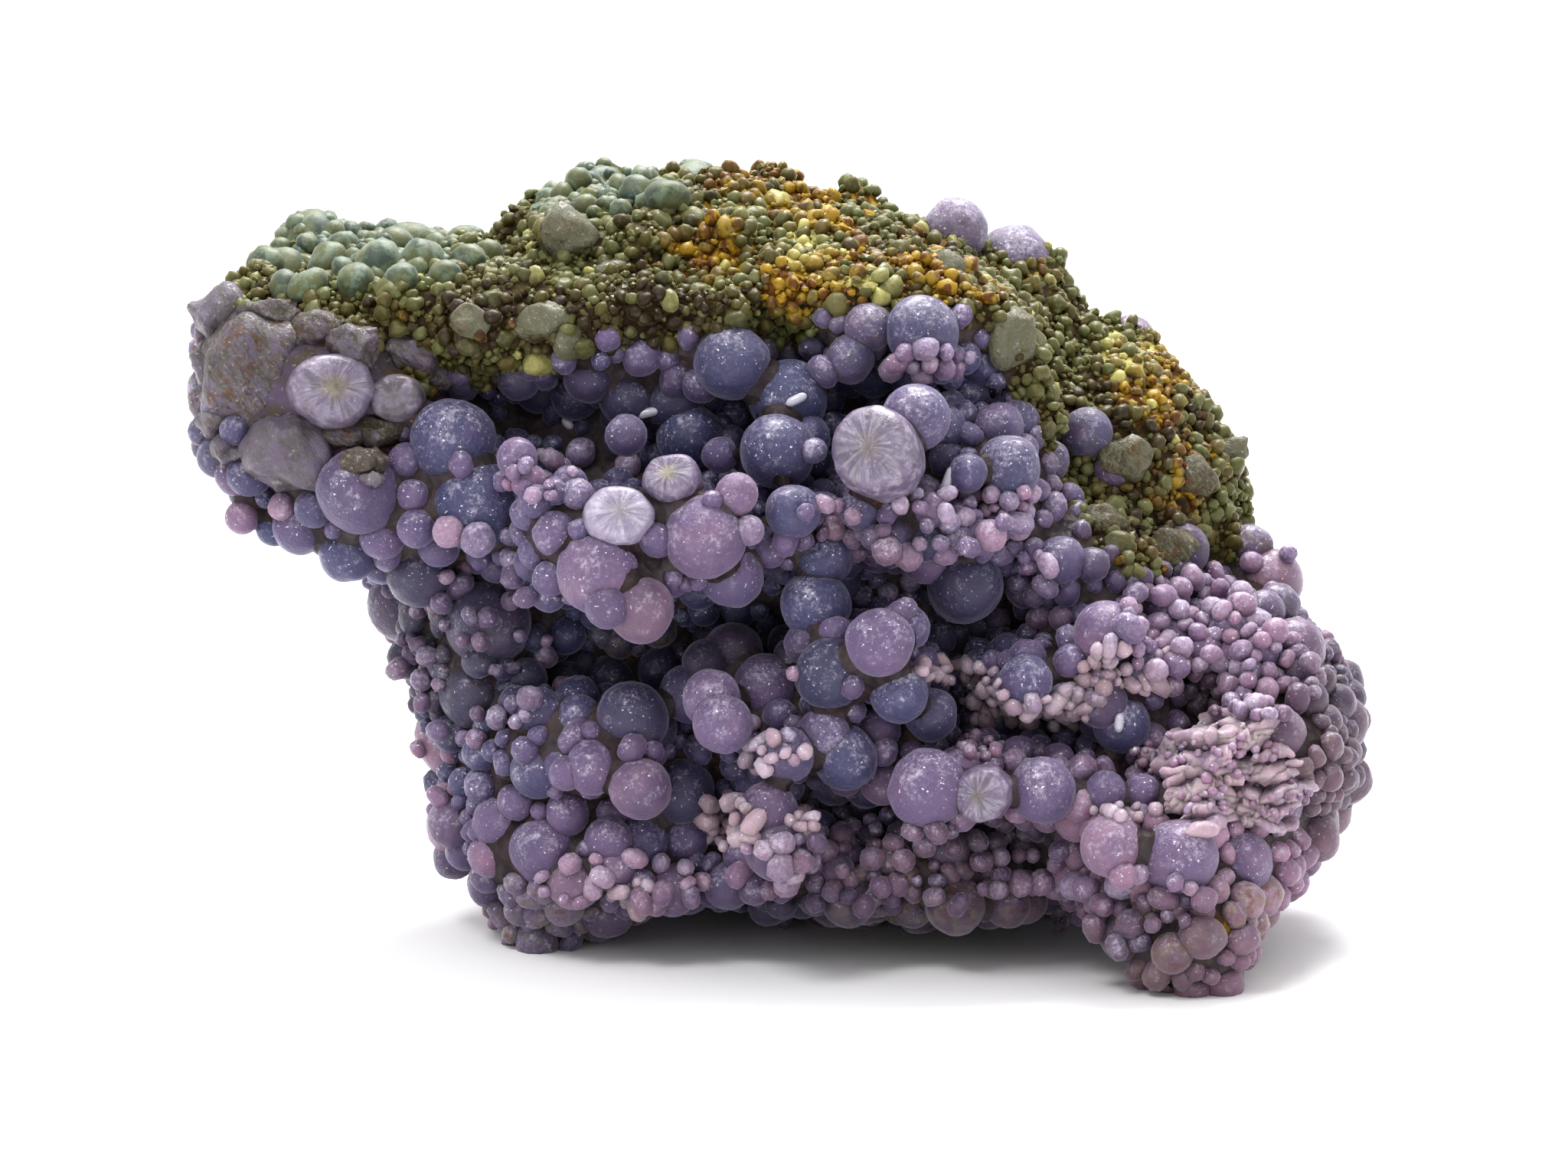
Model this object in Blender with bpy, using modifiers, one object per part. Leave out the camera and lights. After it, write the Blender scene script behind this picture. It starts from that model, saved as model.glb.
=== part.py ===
"""Botryoidal chalcedony: a hand specimen of grape-like balls, grown together as one stone.

The stone is a leaning wedge about 80 mm wide, 52 mm high and 46 mm deep. Three ledges of balls
run across its front under a granular brow, and it stands on a left foot, a nearer right foot and
two heels at the back.

Lumps, pits and balls are placed as they are seen from the front: across (right is positive), up,
and depth (away from the eye is positive), all in millimetres. The eye looks down a little, so
place() turns those three into the stone's own frame, with +Z up and the floor at z = 0.
"""

import math
import random

import bmesh
import bpy
from mathutils import Matrix, Vector

MM = 0.001

# The view that the places are given in
EYE_ELEVATION = math.radians(9.0)
EYE_DISTANCE = 300.0
EYE_HEIGHT = 26.1
FLOOR_DROP = 0.70
BOX_CENTRE = (0.0, 15.93)

# Fineness of the fused stone
VOXEL = 0.62
SMOOTH_VOXEL = 1.1
TRIANGLES = 9400
FLOOR_TOOL = 140.0

# Balls all over the sides that the front view doesn't show, and bumps under the crust on top
SEED = 23
SKIN_POINTS = 420
HEART = (0.0, 27.0, 16.0)
HALF_SIZES = (36.0, 24.0, 18.0)
HIDDEN_RADIUS = (1.7, 3.0)
HIDDEN_SINK = 0.35
CRUST_RADIUS = (1.3, 2.5)
CRUST_SINK = 0.6
SCAR_TOWARDS = (0.25, -0.10, 0.96)
SCAR_HALF_ANGLE = math.radians(30.0)

# The mass of the stone: across, up, depth, half width, half height, half depth, roll in degrees
MASSES = [
    (-2.6, 28.6, 17.0, 29.0, 14.8, 13.0, -20.0),
    (-26.0, 41.4, 12.0, 12.0, 6.5, 10.0, 3.0),
    (-28.0, 44.5, 15.5, 7.0, 4.4, 6.0, 0.0),
    (-20.5, 45.4, 18.0, 8.5, 3.6, 7.0, 0.0),
    (-6.0, 44.5, 18.0, 15.5, 8.6, 13.0, 0.0),
    (8.5, 42.0, 18.0, 12.0, 7.5, 12.0, -35.0),
    (13.0, 44.6, 20.0, 6.0, 4.2, 6.0, 0.0),
    (20.0, 38.0, 21.0, 8.0, 5.0, 9.0, -45.0),
    (21.5, 32.5, 18.0, 10.0, 8.0, 11.0, -52.0),
    (28.2, 17.0, 12.0, 9.6, 9.5, 12.0, -25.0),
    (29.0, 9.6, 5.0, 5.6, 5.4, 8.0, 0.0),
    (4.4, 14.0, 15.0, 25.0, 8.0, 12.0, -5.0),
    (-13.0, 12.5, 11.0, 9.0, 7.5, 8.5, 0.0),
    (-18.2, 22.0, 11.0, 6.5, 8.0, 7.0, 0.0),
]
# Shelves and brows that stand out from it, with the gaps between them left open
LEDGES = [
    (-30.6, 38.6, 6.5, 7.8, 6.8, 6.5, -8.0),
    (-33.8, 42.0, 7.0, 4.4, 4.6, 5.5, 0.0),
    (-15.0, 43.0, 7.0, 17.0, 4.2, 7.5, -1.0),
    (6.0, 44.0, 8.0, 11.0, 4.2, 7.5, -6.0),
    (-24.0, 32.0, 6.0, 10.0, 4.2, 6.5, -6.0),
    (-10.0, 29.5, 4.0, 11.0, 3.2, 7.5, 0.0),
    (7.0, 30.2, 4.5, 12.0, 2.6, 7.0, -2.0),
    (12.5, 34.5, 6.0, 6.0, 3.5, 6.5, -30.0),
    (20.0, 27.0, 7.0, 6.0, 5.0, 6.0, -35.0),
    (5.5, 21.0, 3.0, 5.0, 3.0, 6.0, -10.0),
    (18.5, 20.5, 5.0, 7.0, 2.6, 7.0, -10.0),
    (3.0, 15.8, 4.0, 9.0, 2.6, 7.0, -8.0),
    (15.0, 13.2, 3.5, 10.0, 2.6, 7.5, -2.0),
    (-13.0, 15.5, 6.0, 7.0, 3.6, 6.5, -6.0),
    (24.5, 9.0, 3.0, 7.0, 4.6, 8.0, 0.0),
    (31.5, 15.5, 5.0, 6.0, 4.0, 8.0, -12.0),
    (-12.0, 8.2, 7.0, 8.0, 3.4, 6.0, 0.0),
    (0.0, 8.0, 7.0, 6.0, 2.8, 8.0, 0.0),
    (10.0, 7.6, 6.0, 10.0, 2.8, 7.0, 0.0),
]
# What it stands on
FEET = [
    (-15.4, 5.2, 10.0, 3.6, 4.2, 4.0, 0.0),
    (26.6, 3.6, -3.0, 4.6, 4.2, 4.6, 0.0),
    (-8.0, 11.0, 26.0, 10.0, 8.0, 6.5, -4.0),
    (14.0, 10.6, 26.5, 12.0, 7.6, 6.5, 4.0),
]
# Deep places between the ledges, and the vugs of the right end
PITS = [
    (-15.8, 38.6, 4.0, 2.4, 1.7, 4.5, 0.0),
    (-8.6, 35.6, 3.0, 2.4, 1.6, 6.0, 0.0),
    (4.2, 37.8, 2.0, 1.8, 3.0, 6.0, 0.0),
    (-13.5, 21.4, 4.0, 4.0, 1.8, 5.0, 0.0),
    (-3.6, 23.2, 3.0, 4.2, 1.7, 6.0, 0.0),
    (0.8, 23.4, 1.0, 1.6, 1.8, 6.0, 0.0),
    (13.2, 23.2, 2.0, 3.4, 1.7, 6.0, 0.0),
    (15.4, 16.4, 2.0, 4.0, 0.9, 5.0, 0.0),
    (22.6, 30.6, 7.0, 1.2, 1.0, 4.0, 0.0),
    (27.6, 18.8, -1.0, 1.9, 2.2, 6.0, 0.0),
    (3.8, 12.2, 1.0, 3.6, 1.4, 5.0, 0.0),
    (12.6, 9.7, 1.0, 2.6, 0.9, 5.0, 0.0),
    (-26.6, 47.6, 15.0, 4.0, 2.0, 3.5, 0.0),
]
# Balls of each part of the front: across, up, depth, radius
BROW_GRAPES = [
    (9.2, 42.8, 0.4, 2.4),
    (4.5, 41.0, 0.8, 1.6),
    (-3.2, 40.8, 0.8, 2.4),
    (-12.5, 39.8, 2.6, 1.7),
    (-10.0, 38.5, 3.4, 1.9),
    (-7.2, 38.5, 4.2, 2.3),
    (0.5, 38.5, 1.6, 2.6),
    (-6.0, 36.0, 3.8, 2.2),
    (-0.2, 35.0, -1.2, 2.5),
    (-4.0, 34.8, 0.0, 1.2),
    (-10.1, 36.1, -2.0, 1.4),
]
LEFT_BLOCK_GRAPES = [
    (-29.5, 38.8, 1.6, 2.7),
    (-24.8, 38.5, 1.4, 1.8),
    (-27.8, 41.6, 1.2, 1.6),
    (-34.0, 42.2, 3.0, 2.4),
    (-34.8, 38.4, 2.8, 2.2),
    (-21.4, 35.7, 0.6, 2.8),
    (-19.8, 31.5, 0.4, 3.0),
    (-27.5, 32.4, 0.4, 2.9),
    (-32.0, 34.6, 2.2, 2.1),
    (-35.5, 33.5, 4.0, 1.5),
    (-35.2, 30.7, 4.4, 1.2),
    (-23.8, 30.0, -0.6, 1.3),
    (-31.4, 30.0, 3.6, 1.8),
    (-28.2, 28.4, 3.4, 2.0),
    (-23.6, 27.0, 3.6, 2.2),
]
UPPER_LEDGE_GRAPES = [
    (-11.8, 27.2, -5.0, 2.85),
    (-9.2, 24.7, -5.6, 2.2),
    (-5.0, 29.4, -5.6, 2.65),
    (-10.7, 30.5, -5.2, 2.2),
    (-14.7, 29.6, -4.8, 1.5),
    (-8.9, 28.7, -4.4, 1.4),
    (-2.9, 32.2, -6.0, 1.4),
    (-7.0, 32.8, -4.8, 1.85),
    (-17.2, 34.6, -3.6, 1.35),
    (-16.4, 33.0, -3.8, 1.2),
    (-13.8, 32.9, -4.0, 1.2),
    (-16.5, 31.0, -3.8, 1.2),
    (-16.0, 28.4, -3.2, 1.2),
    (-15.2, 25.8, -2.4, 1.3),
    (-3.2, 26.9, -3.0, 2.1),
    (-7.2, 26.8, -3.0, 1.4),
    (0.8, 31.1, -4.4, 1.8),
    (2.8, 28.0, -1.8, 1.9),
    (-0.8, 28.6, -2.6, 1.2),
    (6.6, 34.6, -4.8, 2.9),
    (8.8, 37.2, -3.6, 2.25),
    (5.2, 31.2, -4.0, 1.4),
    (7.4, 29.6, -3.6, 1.2),
    (9.8, 31.2, -3.8, 1.2),
    (9.4, 29.2, -3.0, 1.4),
    (12.2, 33.6, -2.6, 1.3),
    (14.9, 34.0, -1.0, 2.1),
    (12.6, 29.5, -2.2, 1.3),
    (18.2, 27.9, 1.0, 1.7),
]
MIDDLE_GRAPES = [
    (2.3, 25.0, -2.0, 2.25),
    (6.5, 22.6, -6.4, 2.2),
    (8.1, 23.5, -5.0, 1.6),
    (3.3, 20.5, -4.0, 2.35),
    (7.7, 19.2, -4.8, 1.9),
    (12.0, 26.3, 1.0, 2.5),
    (21.2, 23.2, -1.4, 2.1),
    (22.8, 20.8, 0.8, 2.0),
    (16.0, 20.0, -2.4, 1.75),
    (22.2, 17.2, 0.0, 1.9),
    (-1.0, 19.4, 0.8, 2.4),
    (-3.2, 21.8, 2.6, 2.1),
    (-6.0, 19.2, 1.8, 1.9),
    (-4.5, 18.9, -3.0, 1.9),
    (-3.8, 17.2, -4.4, 1.95),
    (-9.7, 17.6, 0.0, 2.4),
    (-13.2, 17.6, 1.4, 1.55),
    (-15.8, 18.0, 1.8, 1.65),
    (-19.1, 23.8, 4.4, 2.8),
    (-20.0, 19.2, 6.0, 2.4),
]
LOWER_LEDGE_GRAPES = [
    (-15.8, 14.2, 1.8, 1.9),
    (-14.1, 14.5, 0.8, 1.65),
    (-12.2, 14.4, -1.0, 1.8),
    (-9.2, 13.0, -2.0, 2.1),
    (-6.5, 12.8, 2.8, 2.25),
    (0.5, 15.2, -4.4, 1.75),
    (2.8, 16.5, -3.4, 1.75),
    (4.2, 15.0, -3.0, 2.1),
    (9.8, 17.8, -2.0, 1.75),
    (9.6, 13.0, -5.4, 2.55),
    (13.2, 12.8, -5.4, 1.85),
    (17.1, 12.9, -4.4, 2.2),
    (21.2, 12.8, -3.8, 1.4),
    (23.6, 12.8, -3.6, 1.2),
    (26.6, 12.6, -3.2, 1.8),
    (28.6, 14.8, -2.2, 1.9),
    (32.4, 16.6, -1.4, 1.9),
    (32.0, 12.2, 0.0, 2.2),
]
BOTTOM_GRAPES = [
    (-0.8, 11.5, -4.0, 2.0),
    (-0.2, 9.2, -4.0, 2.25),
    (21.6, 9.2, -6.4, 2.05),
    (26.0, 8.5, -6.0, 2.5),
    (-18.2, 10.8, 4.8, 2.0),
    (-19.0, 8.6, 5.0, 1.5),
    (-15.5, 9.0, 3.0, 2.25),
    (-21.4, 10.8, 8.6, 1.75),
    (-9.2, 9.5, 2.8, 2.0),
    (-13.5, 6.9, 2.2, 1.9),
    (-11.0, 7.8, 1.4, 1.6),
    (-7.0, 6.4, 2.0, 1.75),
    (4.4, 5.6, 1.0, 1.75),
    (11.4, 5.4, 0.0, 2.0),
    (14.8, 5.4, 1.0, 1.5),
    (22.4, 3.4, -4.4, 1.6),
    (30.0, 8.2, -2.4, 2.2),
]
RIGHT_END_GRAPES = [
    (32.0, 26.6, 12.0, 2.25),
    (26.2, 28.6, 8.0, 1.8),
    (21.8, 33.8, 8.0, 1.4),
    (20.0, 36.2, 8.0, 1.8),
    (28.8, 34.4, 16.0, 1.6),
    (29.2, 23.2, 3.6, 1.8),
    (33.4, 22.0, 5.0, 2.2),
    (36.2, 17.2, 7.0, 2.2),
    (36.9, 13.6, 12.0, 1.8),
    (34.6, 11.0, 6.0, 1.9),
    (25.4, 22.6, 3.0, 1.6),
]
TOP_KNOBS = [
    (22.8, 42.2, 22.0, 1.9),
    (20.0, 42.4, 22.0, 1.5),
    (11.0, 48.6, 20.0, 2.0),
    (15.2, 47.4, 19.0, 2.6),
    (-30.6, 48.3, 16.0, 2.5),
    (-33.0, 46.0, 12.0, 2.2),
    (-27.2, 47.6, 19.0, 2.4),
    (-24.0, 47.6, 19.0, 2.2),
    (-20.8, 47.7, 18.0, 2.1),
    (-11.6, 51.6, 22.0, 2.6),
    (-14.4, 49.4, 14.0, 2.3),
    (-6.0, 51.4, 20.0, 2.6),
    (-0.6, 51.8, 20.0, 2.6),
    (4.6, 50.2, 18.0, 2.4),
]
BROW_BUMPS = [
    (-34.8, 44.0, 4.6, 1.9),
    (-30.2, 44.6, 4.0, 1.8),
    (-25.4, 44.8, 3.0, 1.9),
    (-21.2, 43.6, 1.4, 2.0),
    (-17.0, 45.0, 2.0, 1.9),
    (-12.6, 43.6, 0.8, 2.2),
    (-8.0, 45.0, 1.4, 2.0),
    (-3.8, 44.4, 1.4, 1.8),
    (0.4, 45.4, 2.2, 2.1),
    (4.8, 45.0, 2.4, 1.9),
    (13.2, 43.6, 3.6, 2.3),
    (15.6, 40.4, 3.8, 2.0),
    (17.4, 37.2, 4.4, 1.8),
    (-14.0, 48.6, 6.6, 2.3),
    (-9.0, 48.4, 6.2, 2.1),
    (-3.4, 48.8, 7.4, 2.2),
    (2.6, 48.6, 7.6, 2.1),
    (8.4, 47.4, 7.6, 2.1),
]
GRAPES = (
    BROW_GRAPES
    + BROW_BUMPS
    + LEFT_BLOCK_GRAPES
    + UPPER_LEDGE_GRAPES
    + MIDDLE_GRAPES
    + LOWER_LEDGE_GRAPES
    + BOTTOM_GRAPES
    + RIGHT_END_GRAPES
    + TOP_KNOBS
)

# Finish of the plain solid: a translucent lavender stone, linear RGB
STONE_COLOUR = (0.185, 0.150, 0.245, 1.0)
STONE_ROUGHNESS = 0.42


def clear_scene():
    for obj in list(bpy.data.objects):
        bpy.data.objects.remove(obj, do_unlink=True)


def new_collection(name):
    collection = bpy.data.collections.new(name)
    bpy.context.scene.collection.children.link(collection)
    return collection


def eye_to_stone():
    """Turns (across, depth, up) as the eye sees them into the stone's frame, floor at z = 0."""
    to_floor = Matrix.Translation((-BOX_CENTRE[0] * MM, -BOX_CENTRE[1] * MM, -FLOOR_DROP * MM))
    return to_floor @ Matrix.Rotation(-EYE_ELEVATION, 4, "X")


def place(across, up, depth):
    """A place seen by the eye, in metres. What lies deeper is as much wider as the eye shrinks it."""
    spread = 1 + depth / EYE_DISTANCE
    raised = EYE_HEIGHT + (up - EYE_HEIGHT) * spread
    return eye_to_stone() @ Vector((across * spread * MM, depth * MM, raised * MM))


def add_lump(bm, lump, divisions):
    across, up, depth, half_width, half_height, half_depth, roll = lump
    turn = Matrix.Rotation(-EYE_ELEVATION, 4, "X") @ Matrix.Rotation(-math.radians(roll), 4, "Y")
    size = Matrix.Diagonal((half_width * MM, half_depth * MM, half_height * MM, 1))
    where = Matrix.Translation(place(across, up, depth)) @ turn @ size
    bmesh.ops.create_icosphere(bm, subdivisions=divisions, radius=1, matrix=where)


def add_ball(bm, across, up, depth, radius, divisions=3):
    where = Matrix.Translation(place(across, up, depth))
    bmesh.ops.create_icosphere(bm, subdivisions=divisions, radius=radius * MM, matrix=where)


def reach(direction):
    """How far the lumps go from the heart in a direction of (across, up, depth)."""
    furthest = 0.0
    for across, up, depth, half_width, half_height, half_depth, roll in MASSES + LEDGES + FEET:
        turn = Matrix.Rotation(-math.radians(roll), 3, "Z")
        inverse_size = Vector((1 / half_width, 1 / half_height, 1 / half_depth))
        start = (turn @ (Vector(HEART) - Vector((across, up, depth)))) * inverse_size
        step = (turn @ direction) * inverse_size
        a, b, c = step.dot(step), start.dot(step), start.dot(start) - 1
        inside_root = b * b - a * c
        if inside_root > 0:
            furthest = max(furthest, (math.sqrt(inside_root) - b) / a)
    return furthest


def skin_balls():
    """Balls at even places round the stone: (across, up, depth, radius) for each one."""
    rng = random.Random(SEED)
    golden_turn = math.pi * (3 - math.sqrt(5))
    scar = Vector(SCAR_TOWARDS).normalized()
    found = []
    for i in range(SKIN_POINTS):
        z = 1 - 2 * (i + 0.5) / SKIN_POINTS
        ring = math.sqrt(1 - z * z)
        x, y = ring * math.cos(golden_turn * i), ring * math.sin(golden_turn * i)
        lift = rng.uniform(-0.6, 0.6)
        hidden_radius, crust_radius = rng.uniform(*HIDDEN_RADIUS), rng.uniform(*CRUST_RADIUS)
        direction = (Vector((x, y, z)) * Vector(HALF_SIZES)).normalized()
        on_crust = y > 0.5 or (x > 0.4 and y > 0.0 and z > -0.5) or (x < -0.8 and y > 0.0)
        on_scar = direction.angle(scar) < SCAR_HALF_ANGLE
        hidden = z > 0.12 or (y < -0.5 and z > -0.3)
        if on_crust or on_scar:
            radius, sink = crust_radius, CRUST_SINK
        elif hidden:
            radius, sink = hidden_radius, HIDDEN_SINK
        else:
            continue
        middle = Vector(HEART) + direction * (reach(direction) - sink * radius + lift)
        found.append((*middle, radius))
    return found


def mesh_object(name, bm, collection):
    mesh = bpy.data.meshes.new(name)
    bm.to_mesh(mesh)
    bm.free()
    obj = bpy.data.objects.new(name, mesh)
    collection.objects.link(obj)
    return obj


def add_remesh(obj, voxel):
    remesh = obj.modifiers.new("fuse", "REMESH")
    remesh.mode = "VOXEL"
    remesh.voxel_size = voxel * MM
    remesh.adaptivity = 0


def add_cut(obj, cutter):
    cut = obj.modifiers.new("cut", "BOOLEAN")
    cut.operation = "DIFFERENCE"
    cut.solver = "EXACT"
    cut.object = cutter


def apply_modifiers(obj):
    """Puts the shape that the modifiers give into the object's own mesh."""
    graph = bpy.context.evaluated_depsgraph_get()
    made = bpy.data.meshes.new_from_object(obj.evaluated_get(graph))
    obj.modifiers.clear()
    obj.data = made


def make_cutter(name, bm, cutters):
    cutter = mesh_object(name, bm, cutters)
    cutter.hide_render = True
    cutter.display_type = "WIRE"
    return cutter


def pit_cutter(cutters):
    bm = bmesh.new()
    for pit in PITS:
        add_lump(bm, pit, divisions=3)
    pits = make_cutter("pits", bm, cutters)
    add_remesh(pits, VOXEL)
    return pits


def floor_cutter(cutters):
    bm = bmesh.new()
    below = Matrix.Translation((0, 0, -FLOOR_TOOL / 2 * MM))
    bmesh.ops.create_cube(bm, size=FLOOR_TOOL * MM, matrix=below)
    return make_cutter("floor", bm, cutters)


def keep_largest_shell(obj):
    """Fusing leaves inner walls round pockets between lumps. Only the outer skin stays."""
    bm = bmesh.new()
    bm.from_mesh(obj.data)
    unseen = set(bm.verts)
    shells = []
    while unseen:
        todo = [unseen.pop()]
        shell = list(todo)
        while todo:
            vert = todo.pop()
            near = {edge.other_vert(vert) for edge in vert.link_edges} & unseen
            unseen -= near
            todo.extend(near)
            shell.extend(near)
        shells.append(shell)
    shells.sort(key=len)
    for shell in shells[:-1]:
        bmesh.ops.delete(bm, geom=shell, context="VERTS")
    bmesh.ops.triangulate(bm, faces=bm.faces)
    bm.to_mesh(obj.data)
    bm.free()


def stone_material():
    material = bpy.data.materials.new("lavender_chalcedony")
    material.use_nodes = True
    shader = material.node_tree.nodes["Principled BSDF"]
    shader.inputs["Base Color"].default_value = STONE_COLOUR
    shader.inputs["Roughness"].default_value = STONE_ROUGHNESS
    shader.inputs["Metallic"].default_value = 0.0
    material.diffuse_color = STONE_COLOUR
    return material


def make_stone(parts, cutters):
    """One stone: the masses with their pits, then every ball, fused and thinned to few facets."""
    bm = bmesh.new()
    for lump in MASSES + LEDGES + FEET:
        add_lump(bm, lump, divisions=4)
    stone = mesh_object("chalcedony", bm, parts)
    add_remesh(stone, SMOOTH_VOXEL)
    apply_modifiers(stone)
    add_cut(stone, pit_cutter(cutters))
    apply_modifiers(stone)
    bm = bmesh.new()
    bm.from_mesh(stone.data)
    for ball in GRAPES + skin_balls():
        add_ball(bm, *ball)
    bm.to_mesh(stone.data)
    bm.free()
    add_remesh(stone, VOXEL)
    apply_modifiers(stone)
    keep_largest_shell(stone)
    thin = stone.modifiers.new("thin", "DECIMATE")
    thin.ratio = TRIANGLES / len(stone.data.polygons)
    apply_modifiers(stone)
    add_cut(stone, floor_cutter(cutters))
    stone.data.materials.clear()
    stone.data.materials.append(stone_material())
    return stone


def main():
    clear_scene()
    parts = new_collection("botryoidal_chalcedony")
    cutters = new_collection("cutters")
    make_stone(parts, cutters)


main()
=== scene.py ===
import math
import random

import bmesh
import bpy
import numpy as np
from bpy.props import FloatProperty, FloatVectorProperty, IntProperty, PointerProperty
from mathutils import Matrix, Vector
from mathutils.bvhtree import BVHTree


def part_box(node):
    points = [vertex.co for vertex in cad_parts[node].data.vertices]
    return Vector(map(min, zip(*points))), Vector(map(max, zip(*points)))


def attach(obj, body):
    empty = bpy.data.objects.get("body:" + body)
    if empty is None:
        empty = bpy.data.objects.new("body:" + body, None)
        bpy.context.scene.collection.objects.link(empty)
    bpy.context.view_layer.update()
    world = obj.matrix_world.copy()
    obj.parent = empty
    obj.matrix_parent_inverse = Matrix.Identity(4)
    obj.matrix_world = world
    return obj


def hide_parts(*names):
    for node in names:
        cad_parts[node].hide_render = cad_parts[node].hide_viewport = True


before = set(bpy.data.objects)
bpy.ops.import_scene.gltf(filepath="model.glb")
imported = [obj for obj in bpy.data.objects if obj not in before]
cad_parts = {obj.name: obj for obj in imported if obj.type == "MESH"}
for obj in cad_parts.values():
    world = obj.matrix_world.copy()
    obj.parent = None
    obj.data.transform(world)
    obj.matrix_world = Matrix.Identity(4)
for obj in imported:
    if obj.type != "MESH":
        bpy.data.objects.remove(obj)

bl_info = {
    "name": "Botryoidal Chalcedony",
    "version": (1, 0, 0),
    "blender": (4, 5, 0),
    "location": "3D View > Sidebar > Stone",
    "description": "Dresses a chalcedony solid with balls, buds, seed pearls and an iron crust",
    "category": "Object",
}

MM = 0.001
BODY = "root"
NODE = "chalcedony"
FRAME_LOW, FRAME_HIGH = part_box(NODE)

# The view that places are given in: across, up and depth in millimetres, as the camera sees them
EYE_ELEVATION = math.radians(9.0)
EYE_DISTANCE = 300.0
EYE_ACROSS = 0.2
EYE_HEIGHT = 26.1
FLOOR_DROP = 0.70
BOX_CENTRE_Y = 15.93
PICTURE_WIDTH = 102.4
SENSOR_WIDTH = 36.0

# Even places all round the stone, as the solid has them, apart from a bare scar
SKIN_SEED = 23
SKIN_POINTS = 420
HEART = (0.0, 27.0, 16.0)
HALF_SIZES = (36.0, 24.0, 18.0)
HIDDEN_RADIUS = (1.7, 3.0)
SCAR_TOWARDS = (0.25, -0.10, 0.96)
SCAR_HALF_ANGLE = math.radians(30.0)
FAR_AWAY = 90.0

# Waves of the rind's surface: size, seed, octaves and height, and how far it is sunk, in millimetres
RIND_SWELLS = [(1.6, 3, 3, 0.10), (0.42, 5, 3, 0.05)]
RIND_CRUMBS = [(0.6, 7, 3, 0.28), (0.3, 9, 1, 0.10), (2.4, 27, 3, 0.55)]
RIND_BREAKS = [(2.6, 15, 3, 0.45), (0.8, 21, 3, 0.18)]
RIND_SINK = 0.12
RIND_CRUST_SINK = 0.10

# Lumpy balls: waves to a radius, and how high each is beside the first
LUMP_WAVES = (2.4, 4.0, 6.5)
LUMP_HEIGHTS = (1.0, 0.6, 0.35)
# Flat cuts on a chipped ball
CHIP_CUTS = 8
# The way that frosted caps, painted glints and painted lightening face: mostly up, and to the front and
# the left, towards the side light
FROST_AND_LIGHT_TOWARDS = (-0.15, -0.45, 0.88)
# Full-grown balls up to this radius in millimetres have fewer faces
LESSER_GRAPE = 1.7
# Buds over these radii in millimetres have more faces: those nearer than this depth, and those anywhere
NEAR_DEPTH = 8.0
LARGE_BUD_NEAR = 1.0
LARGE_BUD_ANYWHERE = 1.2
# Share of the places on full-grown balls that may carry a bud
BUDS_ON_GRAPES = 0.05
# About how far a dome stands out of the stone at most, in millimetres
DOME_RISE = 1.3
# Small knobs on a green mass, and places tried for each seed pearl
KNOBS_EACH = 26
SEED_TRIES_EACH = 12
# Grains over this radius in millimetres are coarse
COARSE_GRAIN = 0.38

# Patches are at full strength up to the first share of their half sizes, and end at the second
PATCH_EDGE = (0.45, 1.15)
SMOOTH_FACE_EDGE = (0.85, 1.1)
CRUST_RAGGED = 1.1
CRUST_BLEND = 0.9

# Each light's place and size, the place that both point at, and the floor's size, in metres
TOP_LIGHT = ((0.03, 0.15, 0.355), 0.26)
SIDE_LIGHT = ((-0.16, -0.26, 0.42), 0.16)
LIT_PLACE = (0, 0, 0.02)
FLOOR_SIZE = 8.0

# Full-grown balls of the front: across, up, depth, radius, tone (0 slate blue, 0.5 lavender, 1 pink)
BROW_GRAPES = [
    (9.2, 42.8, 0.4, 2.4, 0.15),
    (4.5, 41.0, 0.8, 1.6, 0.25),
    (-3.2, 40.8, 0.8, 2.45, 0.10),
    (-12.5, 39.8, 2.6, 1.7, 0.25),
    (-10.0, 38.5, 3.4, 1.9, 0.20),
    (-7.2, 38.5, 4.2, 2.3, 0.10),
    (0.5, 38.5, 1.6, 2.6, 0.02),
    (-6.0, 36.0, 3.8, 2.2, 0.05),
    (-0.2, 35.0, -1.2, 2.5, 0.15),
    (-4.0, 34.8, 0.0, 1.2, 0.35),
    (-10.1, 36.1, -2.0, 1.4, 0.45),
]
LEFT_BLOCK_GRAPES = [
    (-21.4, 35.7, 0.6, 2.8, 0.15),
    (-19.8, 31.5, 0.4, 3.0, 0.10),
    (-27.5, 32.4, 0.4, 2.9, 0.45),
    (-32.0, 34.6, 2.2, 2.1, 0.30),
    (-35.5, 33.5, 4.0, 1.5, 0.55),
    (-35.2, 30.7, 4.4, 1.2, 0.85),
    (-23.8, 30.0, -0.6, 1.3, 0.45),
    (-31.4, 30.0, 3.6, 1.8, 0.35),
    (-28.2, 28.4, 3.4, 2.0, 0.20),
    (-23.6, 27.0, 3.6, 2.2, 0.20),
]
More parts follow.
